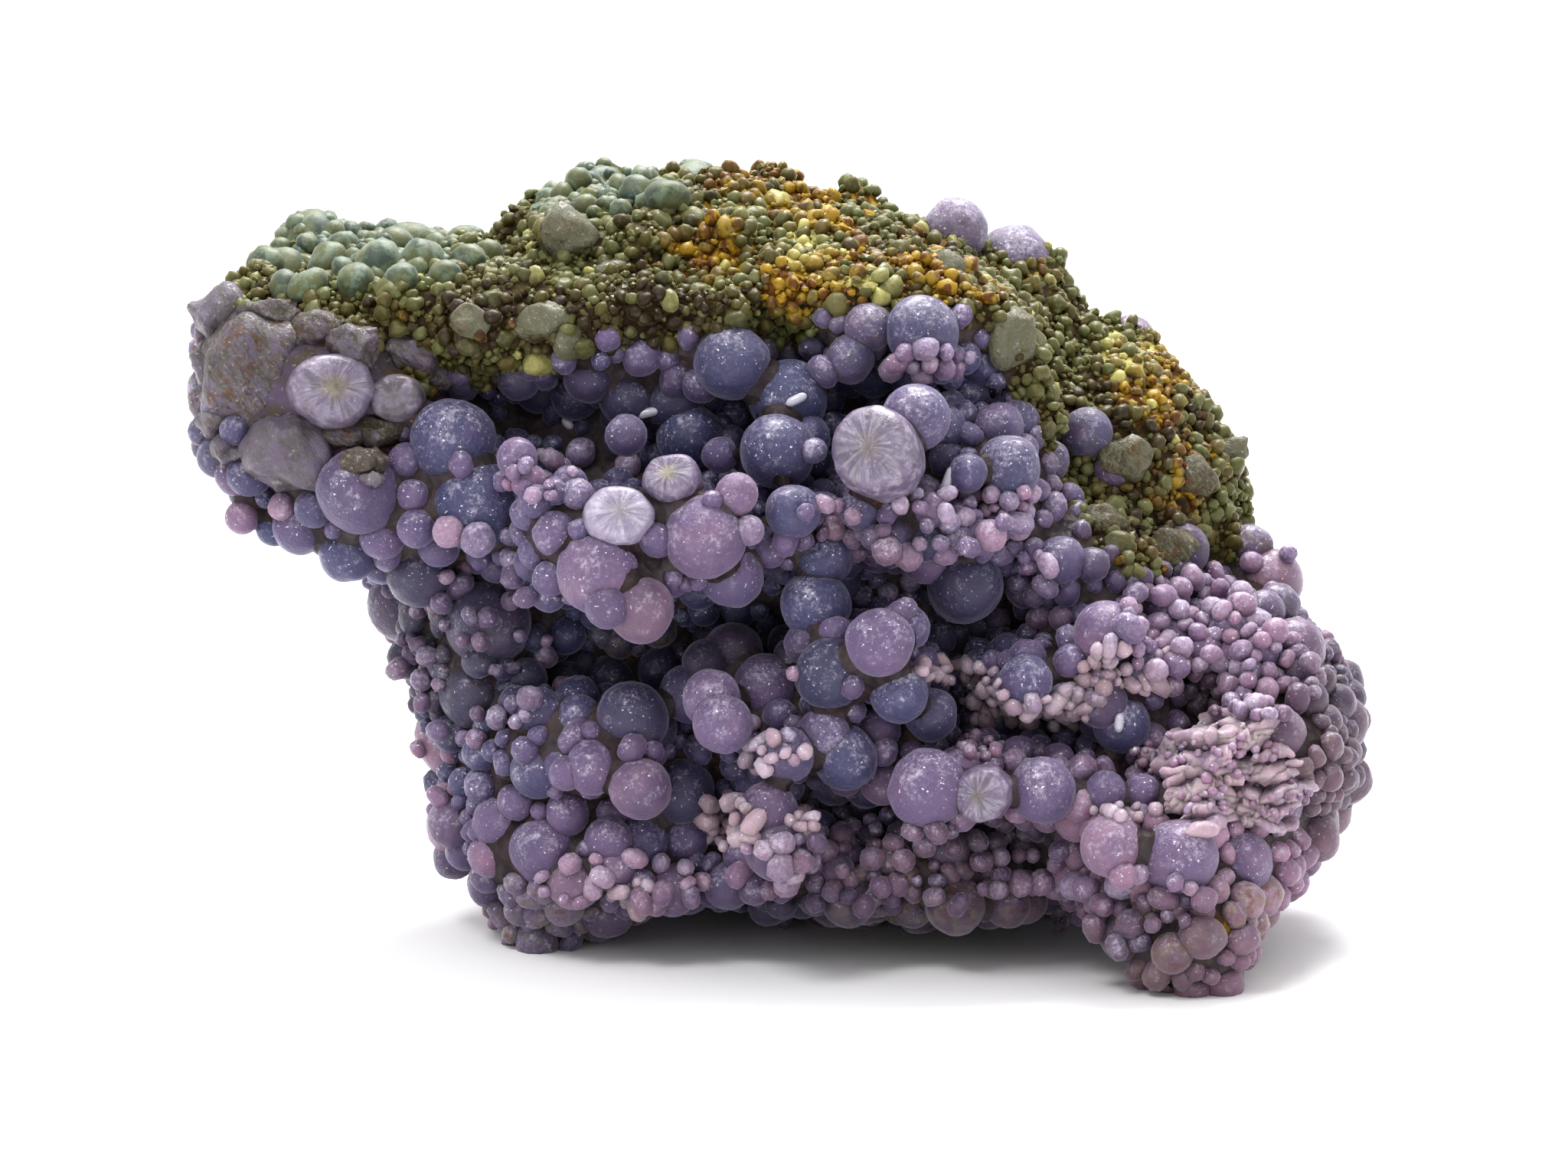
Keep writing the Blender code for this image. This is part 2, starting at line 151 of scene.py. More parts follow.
UPPER_LEDGE_GRAPES = [
    (-11.8, 27.2, -5.0, 2.85, 0.72),
    (-9.2, 24.7, -5.6, 2.2, 0.85),
    (-5.0, 29.4, -5.6, 2.65, 0.70),
    (-14.7, 29.6, -4.8, 1.5, 0.50),
    (-8.9, 28.7, -4.4, 1.4, 0.60),
    (-2.9, 32.2, -6.0, 1.4, 0.90),
    (-17.2, 34.6, -3.6, 1.35, 0.70),
    (-16.4, 33.0, -3.8, 1.2, 0.90),
    (-13.8, 32.9, -4.0, 1.2, 0.35),
    (-16.5, 31.0, -3.8, 1.2, 0.45),
    (-16.0, 28.4, -3.2, 1.2, 0.45),
    (-15.2, 25.8, -2.4, 1.3, 0.35),
    (-3.2, 26.9, -3.0, 2.1, 0.45),
    (-7.2, 26.8, -3.0, 1.4, 0.45),
    (0.8, 31.1, -4.4, 1.8, 0.20),
    (2.8, 28.0, -1.8, 1.9, 0.10),
    (-0.8, 28.6, -2.6, 1.2, 0.45),
    (8.8, 37.2, -3.6, 2.25, 0.35),
    (5.2, 31.2, -4.0, 1.4, 0.25),
    (7.4, 29.6, -3.6, 1.2, 0.45),
    (9.8, 31.2, -3.8, 1.2, 0.75),
    (9.4, 29.2, -3.0, 1.4, 0.20),
    (12.2, 33.6, -2.6, 1.3, 0.30),
    (14.9, 34.0, -1.0, 2.1, 0.25),
    (12.6, 29.5, -2.2, 1.3, 0.60),
    (18.2, 27.9, 1.0, 1.7, 0.35),
]
MIDDLE_GRAPES = [
    (2.3, 25.0, -2.0, 2.25, 0.15),
    (6.5, 22.6, -6.4, 2.2, 0.62),
    (8.1, 23.5, -5.0, 1.6, 0.30),
    (3.3, 20.5, -4.0, 2.35, 0.10),
    (7.7, 19.2, -4.8, 1.9, 0.15),
    (12.0, 26.3, 1.0, 2.5, 0.20),
    (21.2, 23.2, -1.4, 2.1, 0.75),
    (22.8, 20.8, 0.8, 2.0, 0.40),
    (16.0, 20.0, -2.4, 1.75, 0.30),
    (22.2, 17.2, 0.0, 1.9, 0.20),
    (-1.0, 19.4, 0.8, 2.4, 0.55),
    (-3.2, 21.8, 2.6, 2.1, 0.50),
    (-6.0, 19.2, 1.8, 1.9, 0.30),
    (-4.5, 18.9, -3.0, 1.9, 0.70),
    (-3.8, 17.2, -4.4, 1.95, 0.62),
    (-9.7, 17.6, 0.0, 2.4, 0.25),
    (-13.2, 17.6, 1.4, 1.55, 0.20),
    (-15.8, 18.0, 1.8, 1.65, 0.25),
    (-19.1, 23.8, 4.4, 2.8, 0.25),
    (-20.0, 19.2, 6.0, 2.4, 0.15),
]
LOWER_LEDGE_GRAPES = [
    (-15.8, 14.2, 1.8, 1.9, 0.20),
    (-14.1, 14.5, 0.8, 1.65, 0.30),
    (-12.2, 14.4, -1.0, 1.8, 0.70),
    (-9.2, 13.0, -2.0, 2.1, 0.80),
    (-6.5, 12.8, 2.8, 2.25, 0.15),
    (0.5, 15.2, -4.4, 1.75, 0.35),
    (2.8, 16.5, -3.4, 1.75, 0.40),
    (4.2, 15.0, -3.0, 2.1, 0.15),
    (9.8, 17.8, -2.0, 1.75, 0.20),
    (9.6, 13.0, -5.4, 2.55, 0.62),
    (17.1, 12.9, -4.4, 2.2, 0.50),
    (21.2, 12.8, -3.8, 1.4, 0.45),
    (23.6, 12.8, -3.6, 1.2, 0.60),
    (26.6, 12.6, -3.2, 1.8, 0.85),
    (28.6, 14.8, -2.2, 1.9, 0.80),
    (32.4, 16.6, -1.4, 1.9, 0.80),
    (32.0, 12.2, 0.0, 2.2, 0.75),
]
BOTTOM_GRAPES = [
    (-0.8, 11.5, -4.0, 2.0, 0.70),
    (-0.2, 9.2, -4.0, 2.25, 0.62),
    (21.6, 9.2, -6.4, 2.05, 0.92),
    (26.0, 8.5, -6.0, 2.5, 0.70),
    (-18.2, 10.8, 4.8, 2.0, 0.60),
    (-19.0, 8.6, 5.0, 1.5, 0.85),
    (-15.5, 9.0, 3.0, 2.25, 0.55),
    (-21.4, 10.8, 8.6, 1.75, 0.60),
    (-9.2, 9.5, 2.8, 2.0, 0.35),
    (-13.5, 6.9, 2.2, 1.9, 0.85),
    (-11.0, 7.8, 1.4, 1.6, 0.75),
    (-7.0, 6.4, 2.0, 1.75, 0.70),
    (4.4, 5.6, 1.0, 1.75, 0.45),
    (11.4, 5.4, 0.0, 2.0, 0.60),
    (14.8, 5.4, 1.0, 1.5, 0.65),
    (22.4, 3.4, -4.4, 1.6, 0.50),
    (30.0, 8.2, -2.4, 2.2, 0.65),
]
RIGHT_END_GRAPES = [
    (32.0, 26.6, 12.0, 2.25, 0.95),
    (26.2, 28.6, 8.0, 1.8, 0.40),
    (21.8, 33.8, 8.0, 1.4, 0.60),
    (20.0, 36.2, 8.0, 1.8, 0.25),
    (28.8, 34.4, 16.0, 1.6, 0.95),
    (29.2, 23.2, 3.6, 1.8, 0.60),
    (33.4, 22.0, 5.0, 2.2, 0.75),
    (36.2, 17.2, 7.0, 2.2, 0.85),
    (36.9, 13.6, 12.0, 1.8, 0.90),
    (34.6, 11.0, 6.0, 1.9, 0.85),
    (25.4, 22.6, 3.0, 1.6, 0.70),
    (22.8, 42.2, 22.0, 1.9, 0.85),
    (20.0, 42.4, 22.0, 1.5, 0.80),
    (11.4, 49.5, 16.0, 2.2, 0.40),
    (15.2, 47.4, 19.0, 2.6, 0.40),
]
GRAPES = (
    BROW_GRAPES
    + LEFT_BLOCK_GRAPES
    + UPPER_LEDGE_GRAPES
    + MIDDLE_GRAPES
    + LOWER_LEDGE_GRAPES
    + BOTTOM_GRAPES
    + RIGHT_END_GRAPES
)
# Green masses behind the rim of the top, each set with small knobs: across, up, depth, radius
GREEN_KNOBS = [
    (-30.6, 48.3, 16.0, 2.5),
    (-33.0, 46.0, 12.0, 2.2),
    (-27.2, 47.6, 19.0, 2.4),
    (-24.0, 47.6, 19.0, 2.2),
    (-20.8, 47.7, 18.0, 2.1),
    (-11.6, 51.6, 22.0, 2.6),
    (-14.4, 49.4, 14.0, 2.3),
    (-6.0, 51.4, 20.0, 2.6),
]
# Green lumps between them, on the surface that the camera sees: across, up, radius
GREEN_LUMPS = [
    (-33.6, 47.0, 1.3),
    (-32.4, 45.6, 1.2),
    (-30.8, 45.6, 1.2),
    (-29.4, 46.9, 1.5),
    (-27.8, 45.8, 1.4),
    (-26.2, 46.9, 1.6),
    (-24.8, 45.9, 1.2),
    (-23.4, 47.0, 1.5),
    (-22.0, 46.2, 1.2),
    (-20.6, 47.2, 1.3),
    (-28.4, 48.0, 1.2),
    (-25.2, 48.2, 1.2),
    (-19.0, 47.6, 1.1),
    (-7.4, 51.4, 1.4),
    (-9.4, 51.8, 1.2),
]
# Broken balls whose flat faces show fibres that run out from a core: across, up, depth, radius,
# turn of the face sideways and upwards in degrees, stretch of the height, warmth of the core, dullness
SPLIT_GRAPES = [
    (6.6, 34.6, -4.8, 2.95, 18.0, 12.0, 1.05, 0.20, 0.45),
    (-10.7, 30.5, -5.2, 2.35, -6.0, 14.0, 0.85, 0.15, 0.00),
    (-7.0, 32.8, -4.8, 1.95, 10.0, 22.0, 0.85, 0.80, 0.35),
    (13.2, 12.8, -5.4, 1.95, 12.0, -4.0, 1.00, 0.25, 0.40),
    (-29.5, 38.8, 0.9, 2.9, -12.0, 6.0, 0.85, 0.80, 0.55),
    (-24.9, 38.4, 0.8, 1.8, 8.0, 4.0, 0.90, 0.30, 0.95),
]
# Small balls of the front, which sit on whatever is behind them: across, up, radius, tone
AIMED_BUDS = [
    (-2.4, 29.8, 1.00, 0.75),
    (-1.1, 32.5, 0.85, 0.85),
    (-10.0, 33.9, 0.95, 0.70),
    (-13.0, 34.8, 1.05, 0.45),
    (-13.2, 32.0, 1.00, 0.40),
    (-17.5, 28.3, 0.80, 0.65),
    (-21.5, 30.0, 1.10, 0.90),
    (-19.8, 29.5, 1.20, 0.50),
    (-32.4, 31.2, 0.95, 0.85),
    (1.9, 35.1, 0.90, 0.20),
    (12.1, 32.2, 0.80, 0.85),
    (3.3, 29.7, 0.90, 0.95),
    (4.6, 29.5, 0.70, 0.70),
    (6.3, 29.5, 0.90, 0.50),
    (11.3, 29.4, 1.05, 0.45),
    (13.5, 29.5, 1.10, 0.90),
    (15.3, 30.0, 0.90, 0.80),
    (1.0, 20.5, 0.55, 0.95),
    (16.0, 25.9, 1.05, 0.55),
    (14.3, 24.1, 0.85, 0.60),
    (8.4, 26.7, 0.70, 0.65),
    (6.9, 25.8, 0.75, 0.60),
    (17.0, 24.0, 0.90, 0.75),
    (18.4, 24.0, 0.85, 0.75),
    (20.9, 20.3, 1.00, 0.95),
    (-1.8, 17.3, 0.60, 0.95),
    (-14.4, 19.5, 0.65, 0.95),
    (-4.0, 11.7, 0.65, 1.00),
    (1.5, 10.0, 0.80, 0.90),
    (18.0, 7.0, 1.00, 0.75),
    (18.3, 5.5, 0.90, 0.80),
    (-9.5, 6.3, 0.80, 0.85),
    (-8.0, 5.5, 0.75, 0.85),
]
# Patches of tiny balls on the front: across, up, half width, half height, how many, radius, tone
SEED_PATCHES = [
    (9.8, 40.9, 2.6, 1.0, 16, 0.62, 0.70),
    (-15.8, 33.8, 2.8, 1.8, 12, 0.50, 0.65),
    (8.5, 30.4, 7.5, 1.9, 30, 0.62, 0.70),
    (14.5, 31.8, 2.0, 1.0, 10, 0.52, 0.85),
    (26.5, 23.5, 4.6, 3.6, 60, 0.62, 0.75),
    (30.6, 20.4, 4.6, 3.0, 40, 0.62, 0.85),
    (-10.5, 6.9, 5.5, 1.6, 18, 0.55, 0.85),
    (8.0, 8.0, 11.0, 2.8, 66, 0.64, 0.75),
    (23.0, 5.2, 5.0, 2.8, 30, 0.66, 0.75),
    (12.9, 15.6, 1.3, 0.8, 16, 0.36, 1.00),
    (16.5, 27.0, 1.6, 1.4, 10, 0.60, 0.60),
    (-20.0, 22.0, 5.0, 6.0, 40, 0.55, 0.60),
    (27.5, 15.4, 5.0, 1.2, 34, 0.24, 1.00),
    (30.0, 12.6, 5.0, 1.4, 34, 0.24, 1.00),
]
# Patches of tiny rods and chains, listed in the same way
ROD_PATCHES = [
    (11.5, 20.6, 2.6, 0.6, 21, 0.39, 0.95),
    (13.4, 18.8, 1.4, 1.6, 21, 0.40, 0.95),
    (17.4, 18.0, 2.8, 0.9, 30, 0.43, 0.95),
    (19.8, 19.2, 1.4, 1.2, 15, 0.46, 0.90),
    (-0.2, 15.2, 2.2, 1.2, 13, 0.48, 0.85),
    (-3.4, 10.9, 2.0, 1.8, 30, 0.48, 1.00),
    (1.4, 10.6, 0.9, 0.8, 7, 0.46, 1.00),
    (22.5, 11.6, 2.4, 0.7, 12, 0.46, 0.95),
    (23.0, 21.0, 3.4, 1.6, 27, 0.44, 0.90),
    (-9.0, 6.2, 2.2, 0.8, 12, 0.51, 1.00),
]
# Ruffled pink ledges at the lower right: from across and up, to across and up, radius
RUFFLES = [
    (22.8, 13.9, 33.6, 16.9, 0.95),
    (26.2, 16.0, 32.6, 17.8, 0.60),
    (23.2, 12.6, 34.8, 14.6, 0.62),
    (23.8, 11.4, 35.6, 12.8, 0.66),
    (25.0, 10.3, 34.4, 11.3, 0.60),
]
# Plates in a ledge, corners round a plate, millimetres between its rings, and rings smoothed together
RUFFLE_LAYERS = 3
RUFFLE_SIDES = 12
RUFFLE_STEP = 0.20
RUFFLE_BLUR = 5
# Bright slips of clear quartz on the front, where the stone shows glints, pale partly as painted glints:
# across, up, length, lean in degrees
QUARTZ_GLINT_SLIPS = [
    (1.0, 38.4, 1.5, 65.0),
    (22.1, 17.3, 1.3, 5.0),
    (-8.6, 37.6, 1.6, 75.0),
    (11.0, 33.2, 1.8, 20.0),
    (-13.9, 36.8, 1.0, -50.0),
]
# Flattened domes of the broken face at the left: across, up, half width, half height, thickness,
# tone, stain
FACE_DOMES = [
    (-34.4, 40.4, 3.7, 4.4, 3.8, 0.75, 0.45),
    (-31.8, 35.2, 3.3, 2.8, 3.0, 0.64, 0.15),
    (-36.6, 44.0, 2.2, 1.8, 2.4, 0.80, 0.25),
    (-27.6, 41.8, 1.7, 1.6, 1.3, 0.73, 0.45),
    (-37.2, 40.6, 1.4, 2.0, 2.4, 0.69, 0.30),
    (-36.9, 37.4, 1.3, 1.3, 2.2, 0.82, 0.35),
    (-35.8, 35.2, 1.3, 1.4, 2.0, 0.80, 0.10),
    (-30.0, 43.0, 2.4, 1.4, 1.0, 0.78, 0.60),
    (-33.4, 44.2, 2.2, 1.1, 1.1, 0.82, 0.50),
    (-24.0, 41.4, 1.8, 1.3, 1.1, 0.80, 0.35),
    (-26.2, 36.4, 2.2, 1.1, 1.2, 0.75, 0.70),
    (-27.2, 34.4, 1.6, 1.0, 1.2, 0.84, 0.80),
    (-28.6, 36.0, 1.3, 0.9, 1.2, 0.71, 0.50),
    (-22.6, 40.2, 1.2, 1.0, 1.0, 0.73, 0.45),
    (-26.6, 33.1, 0.9, 0.7, 1.0, 1.00, 0.10),
]
# Rounded grey lumps in the crust, listed in the same way
CRUST_DOMES = [
    (-14.0, 49.2, 1.9, 1.8, 1.2, 0.90, 0.30),
    (-18.6, 47.2, 1.2, 0.9, 0.8, 0.60, 0.60),
    (-11.4, 46.6, 1.3, 1.0, 0.8, 0.90, 0.50),
    (-15.2, 43.6, 1.9, 1.3, 1.0, 1.00, 0.00),
    (-16.8, 43.2, 0.9, 0.8, 0.7, 1.00, 0.00),
    (-13.8, 42.2, 1.0, 1.3, 0.8, 1.00, 0.10),
    (-20.4, 43.4, 1.2, 1.0, 0.8, 0.80, 0.30),
    (11.0, 46.4, 1.2, 1.6, 0.8, 0.90, 0.20),
    (15.0, 42.6, 1.8, 2.2, 1.0, 0.70, 0.20),
    (22.6, 34.6, 1.8, 1.6, 1.0, 0.80, 0.50),
    (26.8, 33.6, 1.6, 1.5, 0.9, 0.80, 0.60),
    (29.4, 35.0, 1.3, 1.3, 0.9, 1.00, 0.20),
    (21.0, 30.2, 1.6, 1.4, 0.9, 0.60, 0.80),
    (25.4, 28.6, 2.0, 1.5, 1.0, 0.60, 0.70),
]
# Where the granular crust begins above the balls: across, and the height of its lower edge
CRUST_EDGE = [
    (-42.0, 46.0),
    (-36.0, 45.0),
    (-30.0, 43.6),
    (-26.5, 42.4),
    (-23.0, 39.6),
    (-18.0, 39.2),
    (-14.0, 41.0),
    (-8.0, 42.4),
    (0.0, 42.2),
    (6.0, 43.6),
    (10.0, 45.4),
    (13.0, 43.0),
    (16.0, 37.5),
    (19.0, 31.5),
    (22.5, 27.0),
    (28.0, 27.0),
    (34.0, 30.0),
    (42.0, 30.0),
]
# Stains and tints of the crust: across, up, half width, half height, strength
IRON_PATCHES = [
    (2.0, 49.0, 12.0, 6.0, 1.0),
    (10.0, 46.5, 8.0, 2.4, 0.9),
    (24.0, 39.5, 4.0, 4.0, 0.8),
    (26.5, 33.0, 3.0, 4.0, 0.5),
    (-27.0, 34.6, 3.6, 1.6, 0.7),
    (-24.5, 38.4, 2.0, 2.0, 0.5),
    (28.6, 3.9, 2.0, 0.8, 0.9),
    (10.0, 8.8, 5.0, 1.2, 0.6),
    (-10.0, 22.2, 3.0, 1.2, 0.5),
    (-26.0, 25.0, 1.5, 2.0, 0.6),
]
CREAM_PATCHES = [
    (1.5, 48.4, 2.4, 2.0, 0.9),
    (-2.5, 51.0, 2.6, 1.6, 0.6),
    (4.6, 46.2, 3.4, 1.0, 0.8),
    (22.5, 41.4, 2.6, 2.4, 0.9),
    (-3.5, 46.4, 1.6, 1.0, 0.6),
]
GREEN_PATCHES = [
    (-27.0, 48.5, 9.0, 4.0, 1.0),
    (-12.0, 52.5, 7.0, 3.4, 1.0),
    (-12.0, 48.0, 9.0, 3.6, 0.35),
    (-3.0, 48.0, 3.0, 3.4, 0.5),
    (6.0, 52.0, 6.0, 3.0, 0.6),
    (16.0, 48.0, 4.0, 3.0, 0.7),
    (-37.0, 44.0, 4.0, 5.0, 0.5),
    (12.5, 18.2, 0.8, 0.8, 0.9),
    (33.8, 13.5, 1.4, 1.0, 0.9),
    (36.0, 10.4, 1.0, 0.9, 0.9),
]
DARK_PATCHES = [
    (-14.0, 43.4, 14.0, 2.6, 0.8),
    (-9.0, 46.0, 4.5, 2.6, 0.9),
    (22.0, 34.5, 5.0, 6.0, 0.55),
    (23.5, 30.4, 3.5, 2.0, 0.8),
]
# Painted shade: where the balls are darker, mostly in the hollows, under the ledges and near the floor:
# across, up, half width, half height, strength
PAINTED_SHADE_PATCHES = [
    (-12.0, 38.4, 9.0, 2.8, 0.45),
    (-4.0, 22.2, 7.5, 2.6, 0.75),
    (-20.0, 22.0, 6.5, 6.5, 0.50),
    (-24.0, 24.0, 3.0, 5.0, 0.55),
    (6.0, 4.6, 21.0, 2.8, 0.65),
    (9.0, 8.6, 12.0, 3.0, 0.60),
    (-14.0, 20.6, 6.0, 1.6, 0.70),
    (6.0, 29.6, 6.0, 2.0, 0.50),
    (13.5, 24.6, 6.5, 2.6, 0.60),
    (12.5, 16.8, 8.0, 1.3, 0.55),
    (4.0, 12.6, 4.0, 2.2, 0.65),
    (-9.7, 17.6, 3.2, 2.6, 0.45),
    (-9.2, 24.5, 2.8, 2.4, 0.35),
    (3.3, 20.5, 3.0, 2.6, 0.35),
    (14.0, 9.8, 6.5, 1.8, 0.85),
    (27.6, 18.6, 2.4, 2.6, 0.90),
    (23.0, 29.0, 5.0, 3.6, 0.60),
    (24.5, 3.0, 8.0, 4.4, 0.70),
    (-6.0, 12.0, 8.0, 1.4, 0.50),
    (20.5, 19.0, 1.8, 3.0, 0.40),
    (36.0, 16.0, 5.0, 9.0, 0.70),
    (-31.0, 33.0, 8.0, 3.0, 0.15),
]
# The broken face at the left, with domes in place of buds: across, up, half width, half height
SMOOTH_FACE = (-30.6, 39.0, 9.0, 6.0)
SMOOTH_FACE_DEPTH = 8.0
# Brown and olive stain on the balls near the floor and the edges
MUD_PATCHES = [
    (-16.0, 3.6, 6.5, 4.4, 0.95),
    (-23.5, 9.0, 3.0, 5.0, 0.60),
    (-22.0, 22.0, 3.5, 6.5, 0.45),
    (10.0, 6.4, 8.5, 2.6, 1.00),
    (30.0, 5.2, 3.2, 2.2, 1.00),
    (24.0, 3.4, 5.0, 3.4, 0.90),
    (35.0, 16.0, 5.0, 9.0, 0.35),
    (31.0, 27.0, 6.0, 4.0, 0.60),
    (-9.6, 23.2, 3.5, 1.6, 0.90),
    (0.5, 16.2, 2.0, 1.0, 0.90),
    (22.0, 36.0, 8.0, 8.0, 0.50),
    (-23.0, 42.0, 9.0, 3.0, 0.60),
    (2.0, 42.5, 9.0, 2.4, 0.50),
    (13.5, 48.5, 6.0, 4.0, 0.45),
    (-38.4, 40.0, 3.4, 7.0, 0.80),
]
# The dark hole in the lower right ledges
HOLE_PATCHES = [(27.6, 18.9, 2.2, 2.6, 1.0)]


def view_turn(size=4):
    return Matrix.Rotation(-EYE_ELEVATION, size, "X")


def place(across, up, depth):
    """A place seen by the camera, in metres. What lies deeper is widened as the camera shrinks it."""
    spread = 1 + depth / EYE_DISTANCE
    raised = EYE_HEIGHT + (up - EYE_HEIGHT) * spread
    seen = view_turn() @ Vector((across * spread, depth, raised))
    return (seen - Vector((0, BOX_CENTRE_Y, FLOOR_DROP))) * MM


def seen_from_front(points):
    """Across, up and depth in millimetres of an array of places in metres."""
    moved = np.asarray(points) / MM + (0, BOX_CENTRE_Y, FLOOR_DROP)
    flat = moved @ np.array(view_turn(3))
    depth = flat[:, 1]
    spread = 1 + depth / EYE_DISTANCE
    return flat[:, 0] / spread, EYE_HEIGHT + (flat[:, 2] - EYE_HEIGHT) / spread, depth


def smooth_step(low, high, value):
    t = np.clip((value - low) / (high - low), 0, 1)
    return t * t * (3 - 2 * t)


def wobble(points, size, seed, octaves=3):
    """Soft noise from about -1 to 1 over places in metres, as a sum of waves in random directions."""
    rng = np.random.default_rng(seed)
    total = np.zeros(len(points))
    for octave in range(octaves):
        ways = rng.normal(size=(7, 3)) * (2**octave) / (size * MM)
        phases = rng.uniform(0, 2 * math.pi, 7)
        total += np.sin(points @ ways.T + phases).sum(axis=1) / 3.2 / 2**octave
    return total / 1.5


def waves(points, listed):
    """The sum of some listed waves of soft noise, in millimetres."""
    return sum(wobble(points, size, seed, octaves) * height for size, seed, octaves, height in listed)


def patches(across, up, listed):
    """The strongest of some soft oval patches at each place."""
    found = np.zeros(len(across))
    for middle, height, half_width, half_height, strength in listed:
        far = np.hypot((across - middle) / half_width, (up - height) / half_height)
        found = np.maximum(found, strength * (1 - smooth_step(*PATCH_EDGE, far)))
    return found


def crust_share(points):
    """How far each place is into the granular crust, from 0 to 1."""
    across, up, _ = seen_from_front(points)
    edge = np.interp(across, *zip(*CRUST_EDGE))
    ragged = wobble(points, 2.2, 11) * CRUST_RAGGED
    return smooth_step(-CRUST_BLEND, CRUST_BLEND, up - edge + ragged)


def crust_stains(points):
    """How iron-stained, cream, green and dark the crust is at each place."""
    across, up, _ = seen_from_front(points)
    blur = wobble(points, 1.2, 13) * 0.5
    return {
        "iron": patches(across + blur, up + blur, IRON_PATCHES),
        "cream": patches(across + blur, up + blur, CREAM_PATCHES),
        "green": patches(across, up, GREEN_PATCHES),
        "dark": patches(across + blur, up, DARK_PATCHES),
    }


def smooth_face_share(points):
    """How far each place is on the broken face at the left, from 0 to 1."""
    across, up, depth = seen_from_front(points)
    middle, height, half_width, half_height = SMOOTH_FACE
    far = np.hypot((across - middle) / half_width, (up - height) / half_height)
    return (1 - smooth_step(*SMOOTH_FACE_EDGE, far)) * (depth < SMOOTH_FACE_DEPTH)


class BallList:
    """Balls to be made into one mesh: a place in metres and a radius for each, and named values."""

    def __init__(self):
        self.centres = []
        self.radii = []
        self.values = {"tone": [], "pale": [], "stain": []}

    def painted_shades(self):
        """How dark each ball is painted as painted shade, by where it sits."""
        across, up, _ = seen_from_front(np.array(self.centres))
        return patches(across, up, PAINTED_SHADE_PATCHES)

    def add(self, centre, radius, tone=0.5, pale=0.0, stain=0.0):
        self.centres.append(tuple(centre))
        self.radii.append(radius)
        for name, value in zip(self.values, (tone, pale, stain)):
            self.values[name].append(value)

    def arrays(self):
        return np.array(self.centres), np.array(self.radii)


class Crowd:
    """Remembers where balls are, so that a new one keeps its distance."""

    def __init__(self, cell):
        self.cell = cell
        self.cells = {}

    def near(self, point):
        i, j, k = (int(math.floor(x / self.cell)) for x in point)
        for a in (i - 1, i, i + 1):
            for b in (j - 1, j, j + 1):
                for c in (k - 1, k, k + 1):
                    yield from self.cells.get((a, b, c), ())

    def fits(self, point, radius, closeness):
        for other, size in self.near(point):
            if math.dist(point, other) < closeness * (radius + size):
                return False
        return True

    def add(self, point, radius):
        key = tuple(int(math.floor(x / self.cell)) for x in point)
        self.cells.setdefault(key, []).append((tuple(point), radius))


def unit_ball(divisions):
    """Corners and faces of a ball of radius 1."""
    bm = bmesh.new()
    bmesh.ops.create_icosphere(bm, subdivisions=divisions, radius=1)
    corners = np.array([vert.co for vert in bm.verts])
    faces = np.array([[vert.index for vert in face.verts] for face in bm.faces])
    bm.free()
    return corners, faces


def random_turns(rng, count):
    """Rotation matrices from even random quaternions."""
    w, x, y, z = rng.normal(size=(4, count))
    size = np.sqrt(w * w + x * x + y * y + z * z)
    w, x, y, z = w / size, x / size, y / size, z / size
    rows = [
        [1 - 2 * (y * y + z * z), 2 * (x * y - z * w), 2 * (x * z + y * w)],
        [2 * (x * y + z * w), 1 - 2 * (x * x + z * z), 2 * (y * z - x * w)],
        [2 * (x * z - y * w), 2 * (y * z + x * w), 1 - 2 * (x * x + y * y)],
    ]
    return np.moveaxis(np.array(rows), 2, 0)


def chipped(local, rng, depth):
    """Cuts every ball flat on several sides, for angular grains."""
    for _ in range(CHIP_CUTS):
        ways = rng.normal(size=(len(local), 1, 3))
        ways /= np.linalg.norm(ways, axis=2, keepdims=True)
        over = (local * ways).sum(axis=2, keepdims=True) - 1 + depth * rng.random((len(local), 1, 1))
        local = local - ways * np.maximum(over, 0)
    return local


def ball_meshes(balls, divisions, seed, lumps, squash, long, chips):
    """Corners and faces of many balls at once, each lumpy, flattened and drawn out in its own way."""
    rng = np.random.default_rng(seed)
    centres, radii = balls.arrays()
    count = len(radii)
    shape, faces = unit_ball(divisions)
    stretch = 1 + rng.uniform(-squash, squash, (count, 1, 3))
    drawn = shape * stretch
    halves = np.sign(shape[:, 2]) * (np.abs(shape[:, 2]) > 0.05)
    drawn[:, :, 2] += halves * long * rng.random((count, 1))
    local = np.einsum("nij,nvj->nvi", random_turns(rng, count), drawn)
    if chips:
        local = chipped(local, rng, chips)
    ways = rng.normal(size=(count, 3, 3)) * np.array(LUMP_WAVES)[:, None]
    phases = rng.uniform(0, 2 * math.pi, (count, 3))
    swells = np.sin(np.einsum("nvi,nki->nvk", local, ways) + phases[:, None, :])
    heights = (swells * np.array(LUMP_HEIGHTS)).sum(axis=2) * lumps
    corners = local * (1 + heights[:, :, None])
    corners = corners * radii[:, None, None] + centres[:, None, :]
    corners[:, :, 2] = np.maximum(corners[:, :, 2], 0.0)
    starts = (np.arange(count) * len(shape))[:, None, None]
    return corners.reshape(-1, 3), (faces[None] + starts).reshape(-1, 3), len(shape)


def new_piece(name, corners, faces, material):
    mesh = bpy.data.meshes.new(name)
    mesh.from_pydata(corners, [], faces)
    mesh.shade_smooth()
    mesh.materials.append(material)
    obj = bpy.data.objects.new(name, mesh)
    bpy.context.scene.collection.objects.link(obj)
    return obj


def add_values(obj, name, values):
    attribute = obj.data.attributes.new(name, "FLOAT", "POINT")
    attribute.data.foreach_set("value", np.asarray(values, dtype=np.float32))


